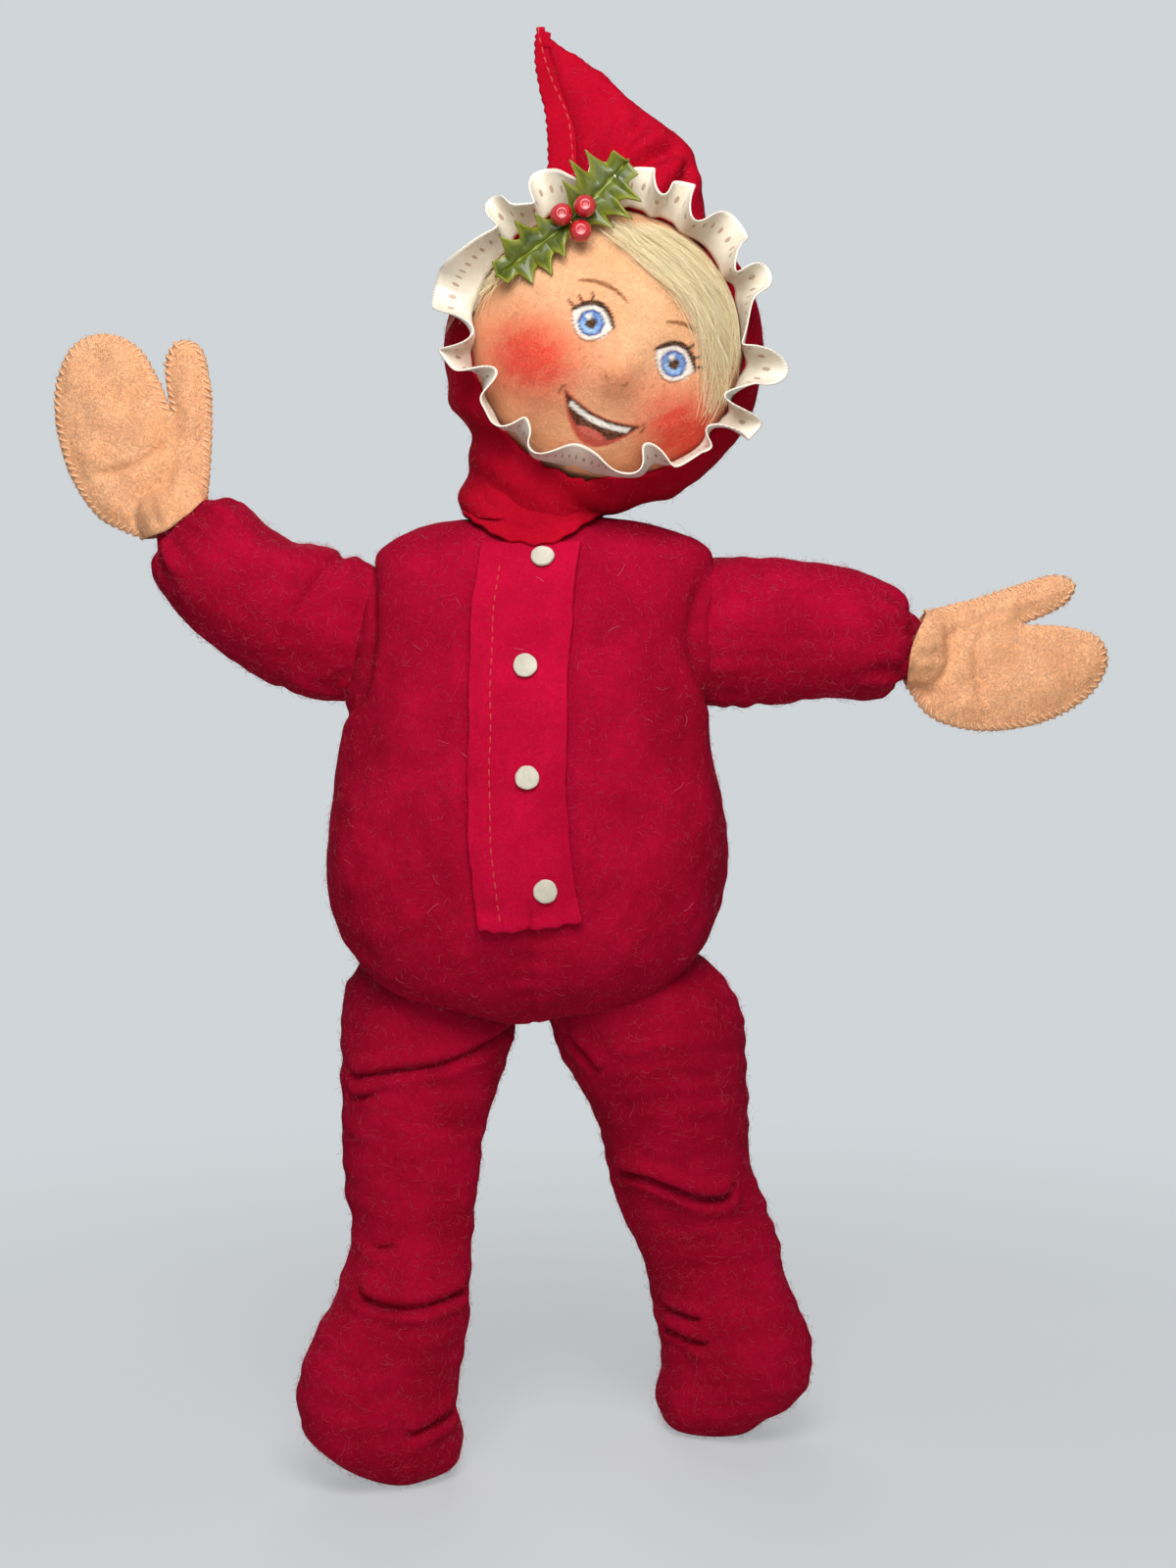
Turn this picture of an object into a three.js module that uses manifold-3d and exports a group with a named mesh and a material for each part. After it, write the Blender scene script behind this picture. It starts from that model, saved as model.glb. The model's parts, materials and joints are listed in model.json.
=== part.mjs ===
// A sewn felt doll in a hooded suit: stuffed body, head and limbs over a bendable wire.
// Millimetres and degrees, +Z up, the doll faces -Y and stands on its two heels.

import * as THREE from "three";
import { mergeVertices } from "three/addons/utils/BufferGeometryUtils.js";
import Module from "manifold-3d";

const wasm = await Module();
wasm.setup();

// Cloth, wire and fits
const FELT = 1.6;
const GAP = 0.4;
const WIRE_RADIUS = 1.1;
const WIRE_BREAK = 0.6; // the wire stops this far short of each bend
const CHANNEL_OVER = 6; // a wire's channel runs this far past its end
const NOTCH_INSET = 1.4; // felt along a notch is measured square to its slope
const SEAM_LIP = 0.8; // a limb stands this far proud of the round at its bend

// Body, a pear standing on its crotch
const TORSO_HEIGHT = 177;
const TORSO_DEPTH = 108;
const BELLY_HALF = 71;
const BELLY_RISE = 54;
const CHEST_HALF = 63;
const CHEST_RISE = 120;
const SHOULDER_HALF = 53;
const SHOULDER_DROP = 15; // below the top of the body
const NECKLINE_HALF = 27;
const NECKLINE_DROP = 1;

// Front strip and buttons
const PLACKET_WIDTH = 38;
const PLACKET_SHIFT = 0.4;
const PLACKET_LOW = 41;
const PLACKET_DROP = 6; // below the top of the body
const PLACKET_FLARE = 3;
const BUTTON_RADIUS = 4.3;
const BUTTON_OFFSETS = [6.2, 0.6, 1.3, 7.3]; // across the body
const BUTTON_SHARES = [0.965, 0.685, 0.396, 0.104]; // of the strip's length, above its lower end

// Neck and head
const NECK_RADIUS = 15;
const NECK_RISE = 5;
const NECK_PLUG = 30;
const NECK_TILT = 25;
const HEAD_RISE = 65;
const HEAD_TURN = 2;
const HEAD_HALF_WIDTH = 54;
const HEAD_HALF_DEPTH = 47;
const HEAD_HALF_HEIGHT = 53;
const NECKBAND_RADIUS = 29;
const NECKBAND_BORE = 20;
const NECKBAND_LEFT = 16;
const NECKBAND_RIGHT = 0;

// Hood, ruffle, hair and holly, in the frame of the head
const OPENING_HALF_WIDTH = 48.5;
const OPENING_HALF_HEIGHT = 44;
const OPENING_RISE = 3;
const HOOD_SKIRT = 48;
const HOOD_TIP = [-72, 96];
const HOOD_TAIL_DEPTH = 40;
const HOOD_TIP_DEPTH = 5;
const HOOD_TAIL_ROUND = 6;
const RUFFLE_WIDTH = 12;
const RUFFLE_THICK = 0.9;
const RUFFLE_WAVES = 15;
const RUFFLE_SWING = 4.5;
const RUFFLE_LEAD = 3;
const HAIR_THICK = 3.5;
const HAIR_REACH = 45.5;
const HAIR_LOW = 8;
const HAIR_HIGH = 104;
const LEAF_LENGTH = 33;
const LEAF_WIDTH = 18;
const LEAF_THICK = 0.9;
const LEAF_SPINES = 3;
const LEAF_TURNS = [-22, 150]; // degrees from straight up
const BERRY_RADIUS = 3.8;
const BERRIES = 3;
const BERRY_TURN = 75;
const HOLLY_PLACE = [-27, 31.5];
const HOLLY_LEAD = 9;

// Arms, the same on both sides apart from how they are held
const ARM_DROP = 36; // the shoulder wire's place below the top of the body
const SHOULDER_OUT = 3;
const SHOULDER_RADIUS = 26.5;
const UPPER_ARM_LENGTH = 38;
const UPPER_ARM_MID_RADIUS = 25.5;
const ELBOW_RADIUS = 23.5;
const FOREARM_LENGTH = 34;
const FOREARM_MID_RADIUS = 20.5;
const WRIST_RADIUS = 13;
const SHOULDER_UP = 46;
const SHOULDER_DOWN = 36;
const ELBOW_UP = 45;
const ELBOW_DOWN = 25;
const BEND_GIVE = 0.5; // a limb's share of the bend at its far end
const WRIST_FLEX = 45;

// Mitten hands
const HAND_LENGTH = 71;
const HAND_OUTER = 29;
const HAND_INNER = 11;
const HAND_THICK = 9;
const HAND_ROUND = 3.2;
const CUFF_WIDTH = 25;
const CUFF_START = 7;
const THUMB_LENGTH = 57;
const THUMB_OUT = 30;
const THUMB_FORK = 36;
const HAND_WIRE = 57; // the wire in a hand ends this far from the wrist

// Legs
const HIP_HALF_SPACING = 35.5;
const HIP_RISE = 8;
const HIP_SETBACK = 8;
const HIP_ARCH = 32; // rise of the wire that joins the hips
const HIP_RADIUS = 31;
const THIGH_LENGTH = 62;
const THIGH_MID_RADIUS = 28;
const KNEE_RADIUS = 22;
const SHIN_LENGTH = 52;
const SHIN_MID_RADIUS = 21;
const ANKLE_RADIUS = 20.5;
const STRIDE = 36; // each ankle stands this far from the point under its hip
const HIP_GIVE = 0.25; // the body's share of the bend at the hip
const HIP_FORWARD = 68;
const HIP_BACK = 30;
const KNEE_FOLD = 80;
const KNEE_OVER = 8;
const ANKLE_FLEX = 25;

// Feet
const ANKLE_HEIGHT = 56;
const FOOT_TOE = 47;
const FOOT_HEEL = 24;
const FOOT_THICK = 44;
const FOOT_ROUND = 8.5;
const FOOT_SWELL = 15;
const SOLE_FLAT = 24;
const SOLE_CUT = 0.5;
const FOOT_TURN = 60;
const FOOT_WIRE = 28; // the wire in a foot ends this far below the ankle

// How each side is held: arm and elbow raised, hand bent in its plane, ankle outward of the hip,
// leg ahead or behind
const SIDES = [
  { name: "right", side: -1, arm: 26, elbow: 18, hand: 22, ankleOut: 9, lead: 1 },
  { name: "left", side: 1, arm: 0, elbow: -9, hand: 9, ankleOut: 33, lead: -1 },
];

// Roundness of the facets
const BALL = { sides: 14, rows: 6 };
const BALL_INSIDE = { sides: 9, rows: 4 };
const LIMB = { sides: 12, rows: 4 };
const LIMB_INSIDE = { sides: 8, rows: 2 };
const TORSO = { sides: 22, rows: 13 };
const TORSO_INSIDE = { sides: 14, rows: 9 };
const HEAD = { sides: 16, rows: 9 };
const HEAD_INSIDE = { sides: 10, rows: 6 };
const WIRE_SIDES = 6;
const SHOULDER_STEPS = 1;
const HIP_STEPS = 12;
const WAVE_STEPS = 5;
const BERRY_SIDES = 8;
const BERRY_ROWS = 6;
const OVAL_STEPS = 13;
const BUTTON_SIDES = 12;
const FAR = 130; // reach of a cutting wedge

const X = new THREE.Vector3(1, 0, 0);
const Y = new THREE.Vector3(0, 1, 0);
const Z = new THREE.Vector3(0, 0, 1);
const rad = THREE.MathUtils.degToRad;

const cloth = (color) => new THREE.MeshStandardMaterial({ color, roughness: 0.95, metalness: 0 });
const plastic = (color) => new THREE.MeshStandardMaterial({ color, roughness: 0.3, metalness: 0 });
const redFelt = cloth(0xb01222);
const hoodFelt = cloth(0xc41a22);
const fleshFelt = cloth(0xe9a77c);
const whiteFelt = cloth(0xe6dfd0);
const ribbon = cloth(0xeadfc4);
const mohair = cloth(0xdcc48e);
const filling = cloth(0xf1eee6);
const leafGreen = plastic(0x3f5a22);
const berryRed = plastic(0xb80f16);
const steel = new THREE.MeshStandardMaterial({ color: 0x8c8f92, roughness: 0.4, metalness: 1 });

// A closed geometry as a solid that can be cut and joined
function solidOf(geometry) {
  const bare = new THREE.BufferGeometry();
  bare.setAttribute("position", geometry.getAttribute("position"));
  bare.setIndex(geometry.getIndex());
  const merged = mergeVertices(bare, 1e-4);
  const corners = merged.getIndex().array;
  const faces = [];
  for (let i = 0; i < corners.length; i += 3) {
    const [a, b, c] = [corners[i], corners[i + 1], corners[i + 2]];
    if (a !== b && b !== c && c !== a) faces.push(a, b, c);
  }
  return new wasm.Manifold(new wasm.Mesh({
    numProp: 3,
    vertProperties: merged.getAttribute("position").array,
    triVerts: new Uint32Array(faces),
  }));
}

function geometryOf(solid) {
  const { vertProperties, triVerts } = solid.getMesh();
  const geometry = new THREE.BufferGeometry();
  geometry.setAttribute("position", new THREE.BufferAttribute(new Float32Array(vertProperties), 3));
  geometry.setIndex(new THREE.BufferAttribute(new Uint32Array(triVerts), 1));
  geometry.computeVertexNormals();
  return geometry;
}

function place(group, name, geometry, material) {
  const mesh = new THREE.Mesh(geometry, material);
  mesh.name = name;
  group.add(mesh);
  return mesh;
}

const placeSolid = (group, name, solid, material) => place(group, name, geometryOf(solid), material);

// A smooth profile through [radius, height] points that start and end on the axis
function smooth(points, count) {
  const curve = new THREE.SplineCurve(points.map(([r, z]) => new THREE.Vector2(r, z)));
  const profile = curve.getPoints(count);
  profile.forEach((p) => { p.x = Math.max(p.x, 0); });
  return profile;
}

// The same profile moved in by a distance square to itself
function inward(profile, inset) {
  return profile.map((p, i) => {
    const before = profile[Math.max(i - 1, 0)];
    const after = profile[Math.min(i + 1, profile.length - 1)];
    const along = after.clone().sub(before).normalize();
    const onAxis = i === 0 || i === profile.length - 1;
    const end = i === 0 ? 1 : -1;
    if (onAxis) return new THREE.Vector2(0, p.y + end * inset);
    return new THREE.Vector2(Math.max(p.x - along.y * inset, 0.01), p.y + along.x * inset);
  });
}

const turned = (profile, sides) => new THREE.LatheGeometry(profile, sides).rotateX(Math.PI / 2);

// A round bar along z between two heights
function bar(radius, low, high, sides) {
  const geometry = new THREE.CylinderGeometry(radius, radius, high - low, sides);
  return geometry.rotateX(Math.PI / 2).translate(0, 0, (low + high) / 2);
}

// A round wire along a curve
function wireAlong(curve, radius, steps) {
  const section = new THREE.Shape();
  for (let i = 0; i < WIRE_SIDES; i++) {
    const turn = (2 * Math.PI * i) / WIRE_SIDES;
    const point = [radius * Math.cos(turn), radius * Math.sin(turn)];
    if (i === 0) section.moveTo(...point);
    else section.lineTo(...point);
  }
  return new THREE.ExtrudeGeometry(section, { steps, extrudePath: curve, curveSegments: 1 });
}

// The round of a bend: a ball with its poles on the hinge line, local x
function ball(radius, facets) {
  return new THREE.SphereGeometry(radius, facets.sides, facets.rows).rotateZ(Math.PI / 2);
}
const hollowFor = (radius) => (radius + GAP) / Math.cos(Math.PI / BALL.sides);

// A wedge with its edge on the hinge line, to take away everything past two planes through that line.
// It opens along +z (open = 1) or -z (open = -1); front is the side of -y.
function wedge(front, back, open, width, reach) {
  const outline = new THREE.Shape();
  outline.moveTo(0, 0);
  outline.lineTo(-reach * Math.cos(rad(front)), -open * reach * Math.sin(rad(front)));
  outline.lineTo(-reach, open * reach);
  outline.lineTo(reach, open * reach);
  outline.lineTo(reach * Math.cos(rad(back)), -open * reach * Math.sin(rad(back)));
  const geometry = new THREE.ExtrudeGeometry(outline, { depth: width, bevelEnabled: false });
  return geometry.translate(0, 0, -width / 2).applyMatrix4(new THREE.Matrix4().makeBasis(Y, Z, X));
}

// A bend of the wire. Local x is the hinge line and local z runs along the limb; a positive turn carries
// the limb towards -y. front and back are the limits from straight, give is the parent's share of each, and
// span and reach are how much of the parent the bend takes along the hinge line and away from it.
function bendAt(parent, name, { at, hinge, along, rest, radius, front, back, give, span, reach }) {
  const socket = new THREE.Group();
  const side = along.clone().cross(hinge);
  socket.position.copy(at);
  socket.quaternion.setFromRotationMatrix(new THREE.Matrix4().makeBasis(hinge, side, along));
  const limb = new THREE.Group();
  limb.name = name;
  limb.rotation.x = rad(rest);
  parent.add(socket);
  socket.add(limb);
  socket.updateMatrix();
  const cupBall = solidOf(ball(hollowFor(radius), BALL).applyMatrix4(socket.matrix));
  const cupWedge = solidOf(wedge(front * give, back * give, 1, span, reach).applyMatrix4(socket.matrix));
  const share = 1 - give;
  const rounded = (solid, inset) => {
    const notch = wedge(front * share, back * share, -1, FAR, FAR).translate(0, 0, inset * NOTCH_INSET);
    const round = ball(radius - inset, inset > 0 ? BALL_INSIDE : BALL);
    return solid.subtract(solidOf(notch)).add(solidOf(round));
  };
  return { socket, limb, radius, cup: cupBall.add(cupWedge), rounded };
}

// A stuffed length of limb: felt skin, filling and wire, rounded at its own bend and cut for the next
function stuffedLimb(name, bend, body, next) {
  const { limb } = bend;
  const outer = bend.rounded(body(0), 0);
  const inner = bend.rounded(body(FELT), FELT);
  const core = bend.rounded(body(FELT + GAP), FELT + GAP);
  const wireLow = -bend.radius + WIRE_BREAK;
  const wireHigh = next.wireEnd;
  const channel = solidOf(bar(WIRE_RADIUS + GAP, wireLow - FAR, wireHigh + CHANNEL_OVER, WIRE_SIDES));
  const skin = next.cut(outer.subtract(inner)).subtract(channel);
  const stuffing = next.cut(core).subtract(channel);
  placeSolid(limb, `${name}_skin`, skin, redFelt);
  placeSolid(limb, `${name}_filling`, stuffing, filling);
  place(limb, `${name}_wire`, bar(WIRE_RADIUS, wireLow, wireHigh, WIRE_SIDES), steel);
}

// A limb's end that takes the next bend's round
function cupEnd(length, nextBend) {
  return {
    wireEnd: length - hollowFor(nextBend.radius) - WIRE_BREAK,
    cut: (solid) => solid.subtract(nextBend.cup),
  };
}

// A limb body turned about z, through [radius, height] stations from its bend to its end
function turnedBody(stations) {
  return (inset) => {
    const facets = inset > 0 ? LIMB_INSIDE : LIMB;
    const points = smooth(stations, facets.rows);
    const [first, last] = [points[0].y, points[points.length - 1].y];
    const shell = points.map((p) => new THREE.Vector2(p.x - inset, p.y));
    const profile = [new THREE.Vector2(0, first), ...shell, new THREE.Vector2(0, last)];
    return solidOf(turned(profile, facets.sides));
  };
}

// Body
const shoulderRise = TORSO_HEIGHT - SHOULDER_DROP;
const armRise = TORSO_HEIGHT - ARM_DROP;
const placketHigh = TORSO_HEIGHT - PLACKET_DROP;
const torsoPoints = [
  [0, 0],
  [0.54 * BELLY_HALF, 0.09 * BELLY_RISE],
  [0.87 * BELLY_HALF, 0.44 * BELLY_RISE],
  [BELLY_HALF, BELLY_RISE],
  [CHEST_HALF, CHEST_RISE],
  [SHOULDER_HALF, shoulderRise],
  [NECKLINE_HALF, TORSO_HEIGHT - NECKLINE_DROP],
  [0, TORSO_HEIGHT],
];
const torsoProfile = smooth(torsoPoints, TORSO.rows);
const torsoFlatness = TORSO_DEPTH / (2 * BELLY_HALF);
const torsoSolid = (inset) => {
  const facets = inset > 0 ? TORSO_INSIDE : TORSO;
  const geometry = turned(inward(smooth(torsoPoints, facets.rows), inset), facets.sides);
  return solidOf(geometry.scale(1, torsoFlatness, 1));
};

// The point and outward direction on the body's front, a distance off the felt
function torsoFront(x, z, off) {
  const profile = inward(torsoProfile, -off);
  const upper = profile.findIndex((p, i) => p.y > z && i > 0);
  const [low, high] = [profile[upper - 1], profile[upper]];
  const radius = THREE.MathUtils.mapLinear(z, low.y, high.y, low.x, high.x);
  const slope = (high.x - low.x) / (high.y - low.y);
  const deep = Math.sqrt(radius * radius - x * x);
  const point = new THREE.Vector3(x, -torsoFlatness * deep, z);
  const out = new THREE.Vector3(x, -deep / torsoFlatness, -radius * slope).normalize();
  return { point, out };
}

const legLength = THIGH_LENGTH + SHIN_LENGTH;
const hipHeight = ANKLE_HEIGHT + Math.sqrt(legLength ** 2 - STRIDE ** 2);
const doll = new THREE.Group();
const torso = new THREE.Group();
torso.name = "torso";
torso.position.z = hipHeight - HIP_RISE;
doll.add(torso);

// Neck, held by the body
const neckBend = bendAt(torso, "neck", {
  at: new THREE.Vector3(0, 0, TORSO_HEIGHT + NECK_RISE),
  hinge: Y.clone(),
  along: Z.clone(),
  rest: NECK_TILT,
  radius: NECK_RADIUS,
  front: 0,
  back: 0,
  give: 0,
  span: 2 * hollowFor(NECK_RADIUS),
  reach: hollowFor(NECK_RADIUS),
});

// Arms and hands
function mittenOutline() {
  const outline = new THREE.Shape();
  const half = CUFF_WIDTH / 2;
  const at = (across, along) => new THREE.Vector2(across, along);
  outline.moveTo(-half, CUFF_START);
  outline.splineThru([
    at(-HAND_OUTER, 0.4 * HAND_LENGTH),
    at(-0.88 * HAND_OUTER, 0.76 * HAND_LENGTH),
    at(-0.5 * HAND_OUTER, 0.98 * HAND_LENGTH),
    at(0, HAND_LENGTH),
    at(HAND_INNER, 0.84 * HAND_LENGTH),
    at(HAND_INNER, THUMB_FORK),
  ]);
  outline.splineThru([
    at(HAND_INNER + 0.25 * (THUMB_OUT - HAND_INNER), 0.9 * THUMB_LENGTH),
    at(HAND_INNER + 0.65 * (THUMB_OUT - HAND_INNER), THUMB_LENGTH),
    at(THUMB_OUT, 0.92 * THUMB_LENGTH),
    at(0.78 * THUMB_OUT, 0.5 * THUMB_LENGTH),
    at(half, CUFF_START),
  ]);
  return outline;
}

function addHand(name, bend) {
  const depth = HAND_THICK - 2 * HAND_ROUND;
  const pillow = new THREE.ExtrudeGeometry(mittenOutline(), {
    depth,
    curveSegments: 3,
    bevelThickness: HAND_ROUND,
    bevelSize: HAND_ROUND,
    bevelOffset: -HAND_ROUND,
    bevelSegments: 2,
  });
  // across the palm is the hinge line, along the hand is z, its thickness is y
  pillow.translate(0, 0, -depth / 2).applyMatrix4(new THREE.Matrix4().makeBasis(X, Z, Y.clone().negate()));
  const wireLow = hollowFor(WRIST_RADIUS) + WIRE_BREAK;
  const wireHigh = HAND_WIRE;
  const channel = solidOf(bar(WIRE_RADIUS + GAP, wireLow - FAR, wireHigh + GAP, WIRE_SIDES));
  const hand = solidOf(pillow).subtract(solidOf(ball(hollowFor(WRIST_RADIUS), BALL))).subtract(channel);
  const halfSpace = (sign) => {
    const box = new THREE.BoxGeometry(2 * FAR, FAR, 2 * FAR);
    return solidOf(box.translate(0, sign * (FAR / 2 + GAP / 2), 0));
  };
  placeSolid(bend.limb, `${name}_hand_palm`, hand.intersect(halfSpace(-1)), fleshFelt);
  placeSolid(bend.limb, `${name}_hand_back`, hand.intersect(halfSpace(1)), fleshFelt);
  place(bend.limb, `${name}_hand_wire`, bar(WIRE_RADIUS, wireLow, wireHigh, WIRE_SIDES), steel);
}

function addArm({ name, side, arm, elbow, hand }) {
  const hinge = Y.clone().multiplyScalar(-side);
  const shoulderBend = bendAt(torso, `${name}_upper_arm`, {
    at: new THREE.Vector3(side * (CHEST_HALF + SHOULDER_OUT), 0, armRise),
    hinge,
    along: X.clone().multiplyScalar(side),
    rest: arm,
    radius: SHOULDER_RADIUS,
    front: SHOULDER_UP,
    back: SHOULDER_DOWN,
    give: 0,
    span: 2 * hollowFor(SHOULDER_RADIUS),
    reach: hollowFor(SHOULDER_RADIUS),
  });
  const elbowBend = bendAt(shoulderBend.limb, `${name}_forearm`, {
    at: new THREE.Vector3(0, 0, UPPER_ARM_LENGTH),
    hinge: X.clone(),
    along: Z.clone(),
    rest: elbow,
    radius: ELBOW_RADIUS,
    front: ELBOW_UP,
    back: ELBOW_DOWN,
    give: BEND_GIVE,
    span: FAR,
    reach: FAR,
  });
  const handAlong = Z.clone().applyAxisAngle(X, rad(hand));
  const wristBend = bendAt(elbowBend.limb, `${name}_hand`, {
    at: new THREE.Vector3(0, 0, FOREARM_LENGTH),
    hinge: handAlong.clone().cross(X).multiplyScalar(-1),
    along: handAlong,
    rest: 0,
    radius: WRIST_RADIUS,
    front: WRIST_FLEX,
    back: WRIST_FLEX,
    give: 0,
    span: FAR,
    reach: FAR,
  });
  const upper = turnedBody([
    [SHOULDER_RADIUS + SEAM_LIP, 0],
    [UPPER_ARM_MID_RADIUS, UPPER_ARM_LENGTH / 2],
    [ELBOW_RADIUS, UPPER_ARM_LENGTH],
  ]);
  stuffedLimb(`${name}_upper_arm`, shoulderBend, upper, cupEnd(UPPER_ARM_LENGTH, elbowBend));
  const lowerBody = turnedBody([
    [ELBOW_RADIUS + SEAM_LIP, 0],
    [FOREARM_MID_RADIUS, FOREARM_LENGTH / 2],
    [WRIST_RADIUS - SEAM_LIP, FOREARM_LENGTH],
  ]);
  // the sleeve ends in a round of its own, which the mitten's cuff goes over
  const lower = (inset) => {
    const end = ball(WRIST_RADIUS - inset, inset > 0 ? BALL_INSIDE : BALL);
    return lowerBody(inset).add(solidOf(end.applyMatrix4(wristBend.socket.matrix)));
  };
  const wristEnd = { wireEnd: FOREARM_LENGTH + WRIST_RADIUS - WIRE_BREAK, cut: (solid) => solid };
  stuffedLimb(`${name}_forearm`, elbowBend, lower, wristEnd);
  addHand(name, wristBend);
  return shoulderBend;
}

// Legs and feet
function footOutline() {
  const outline = new THREE.Shape();
  const low = ANKLE_HEIGHT + SOLE_CUT;
  const at = (ahead, down) => new THREE.Vector2(ahead, down);
  outline.moveTo(-0.85 * ANKLE_RADIUS, 0.05 * ANKLE_HEIGHT);
  outline.splineThru([
    at(-0.8 * FOOT_HEEL, 0.36 * ANKLE_HEIGHT),
    at(-FOOT_HEEL, 0.68 * ANKLE_HEIGHT),
    at(-0.8 * FOOT_HEEL, 0.93 * ANKLE_HEIGHT),
    at(-SOLE_FLAT / 2, low),
  ]);
  outline.lineTo(SOLE_FLAT / 2, low);
  outline.splineThru([
    at(0.68 * FOOT_TOE, 0.89 * ANKLE_HEIGHT),
    at(0.93 * FOOT_TOE, 0.66 * ANKLE_HEIGHT),
    at(FOOT_TOE, 0.4 * ANKLE_HEIGHT),
    at(0.86 * FOOT_TOE, 0.2 * ANKLE_HEIGHT),
    at(0.5 * FOOT_TOE, 0.06 * ANKLE_HEIGHT),
  ]);
  return outline;
}

function footBody(inset) {
  const depth = FOOT_THICK - 2 * FOOT_SWELL;
  const geometry = new THREE.ExtrudeGeometry(footOutline(), {
    depth,
    curveSegments: inset > 0 ? 1 : 2,
    bevelThickness: FOOT_SWELL - inset,
    bevelSize: FOOT_ROUND - inset,
    bevelOffset: -FOOT_ROUND,
    bevelSegments: inset > 0 ? 1 : 2,
  });
  // ahead is -y, down is z, its thickness is x
  geometry.translate(0, 0, -depth / 2);
  geometry.applyMatrix4(new THREE.Matrix4().makeBasis(Y.clone().negate(), Z, X.clone().negate()));
  return solidOf(geometry);
}

function addLeg({ name, side, ankleOut, lead }) {
  const ankleAhead = lead * Math.sqrt(STRIDE ** 2 - ankleOut ** 2);
  const swing = Math.asin(ankleAhead / legLength);
  const splay = Math.asin(ankleOut / (legLength * Math.cos(swing)));
  const hipBend = bendAt(torso, `${name}_thigh`, {
    at: new THREE.Vector3(side * HIP_HALF_SPACING, HIP_SETBACK, HIP_RISE),
    hinge: X.clone().negate().applyAxisAngle(Y, -side * splay),
    along: Z.clone().negate().applyAxisAngle(Y, -side * splay),
    rest: THREE.MathUtils.radToDeg(swing),
    radius: HIP_RADIUS,
    front: HIP_FORWARD,
    back: HIP_BACK,
    give: HIP_GIVE,
    span: 2 * hollowFor(HIP_RADIUS),
    reach: FAR,
  });
  const kneeBend = bendAt(hipBend.limb, `${name}_shin`, {
    at: new THREE.Vector3(0, 0, THIGH_LENGTH),
    hinge: X.clone(),
    along: Z.clone(),
    rest: 0,
    radius: KNEE_RADIUS,
    front: KNEE_OVER,
    back: KNEE_FOLD,
    give: BEND_GIVE,
    span: FAR,
    reach: FAR,
  });
  doll.updateMatrixWorld(true);
  const upright = kneeBend.limb.getWorldQuaternion(new THREE.Quaternion()).invert();
  const toe = new THREE.Vector3(side * Math.sin(rad(FOOT_TURN)), -Math.cos(rad(FOOT_TURN)), 0);
  const ankleBend = bendAt(kneeBend.limb, `${name}_foot`, {
    at: new THREE.Vector3(0, 0, SHIN_LENGTH),
    hinge: toe.clone().cross(Z).applyQuaternion(upright),
    along: Z.clone().negate().applyQuaternion(upright),
    rest: 0,
    radius: ANKLE_RADIUS,
    front: ANKLE_FLEX,
    back: ANKLE_FLEX,
    give: BEND_GIVE,
    span: FAR,
    reach: FAR,
  });
  const thigh = turnedBody([
    [HIP_RADIUS + SEAM_LIP, 0],
    [THIGH_MID_RADIUS, THIGH_LENGTH / 2],
    [KNEE_RADIUS, THIGH_LENGTH],
  ]);
  const shin = turnedBody([
    [KNEE_RADIUS + SEAM_LIP, 0],
    [SHIN_MID_RADIUS, SHIN_LENGTH / 2],
    [ANKLE_RADIUS, SHIN_LENGTH],
  ]);
  stuffedLimb(`${name}_thigh`, hipBend, thigh, cupEnd(THIGH_LENGTH, kneeBend));
  stuffedLimb(`${name}_shin`, kneeBend, shin, cupEnd(SHIN_LENGTH, ankleBend));
  // the foot is cut flat where it stands
  const standing = (inset) => {
    const under = new THREE.BoxGeometry(2 * FAR, 2 * FAR, FAR);
    under.translate(0, 0, ANKLE_HEIGHT - inset + FAR / 2);
    return footBody(inset).subtract(solidOf(under));
  };
  const soleEnd = { wireEnd: FOOT_WIRE, cut: (solid) => solid };
  stuffedLimb(`${name}_foot`, ankleBend, standing, soleEnd);
  return hipBend;
}

const shoulders = SIDES.map(addArm);
const hips = SIDES.map(addLeg);

// The body's skin and filling, open where neck and limbs go in, with the two wires that cross it
const bodyBends = [neckBend, ...shoulders, ...hips];
const cutBody = (solid) => bodyBends.reduce((left, bend) => left.subtract(bend.cup), solid);

// Each wire stops short of the limbs' rounds, and its channel in the filling runs on into them
const shoulderEnd = CHEST_HALF + SHOULDER_OUT - hollowFor(SHOULDER_RADIUS) - WIRE_BREAK;
const shoulderCurve = (more) => new THREE.LineCurve3(
  new THREE.Vector3(-shoulderEnd - more, 0, armRise),
  new THREE.Vector3(shoulderEnd + more, 0, armRise),
);
const hipEnd = HIP_RISE + hollowFor(HIP_RADIUS) + WIRE_BREAK;
const hipCurve = new THREE.CatmullRomCurve3([
  [-1, 0],
  [-0.8, 0.55 * HIP_ARCH],
  [0, HIP_ARCH],
  [0.8, 0.55 * HIP_ARCH],
  [1, 0],
].map(([across, up]) => new THREE.Vector3(across * HIP_HALF_SPACING, HIP_SETBACK, hipEnd + up)));
const hipMouth = (side) => {
  const mouth = bar(WIRE_RADIUS + GAP, hipEnd - CHANNEL_OVER, hipEnd + WIRE_RADIUS, WIRE_SIDES);
  return solidOf(mouth.translate(side * HIP_HALF_SPACING, HIP_SETBACK, 0));
};
const torsoCore = cutBody(torsoSolid(FELT + GAP))
  .subtract(solidOf(wireAlong(shoulderCurve(CHANNEL_OVER), WIRE_RADIUS + GAP, SHOULDER_STEPS)))
  .subtract(solidOf(wireAlong(hipCurve, WIRE_RADIUS + GAP, HIP_STEPS)))
  .subtract(hipMouth(-1))
  .subtract(hipMouth(1));
placeSolid(torso, "torso_skin", cutBody(torsoSolid(0).subtract(torsoSolid(FELT))), redFelt);
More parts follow.
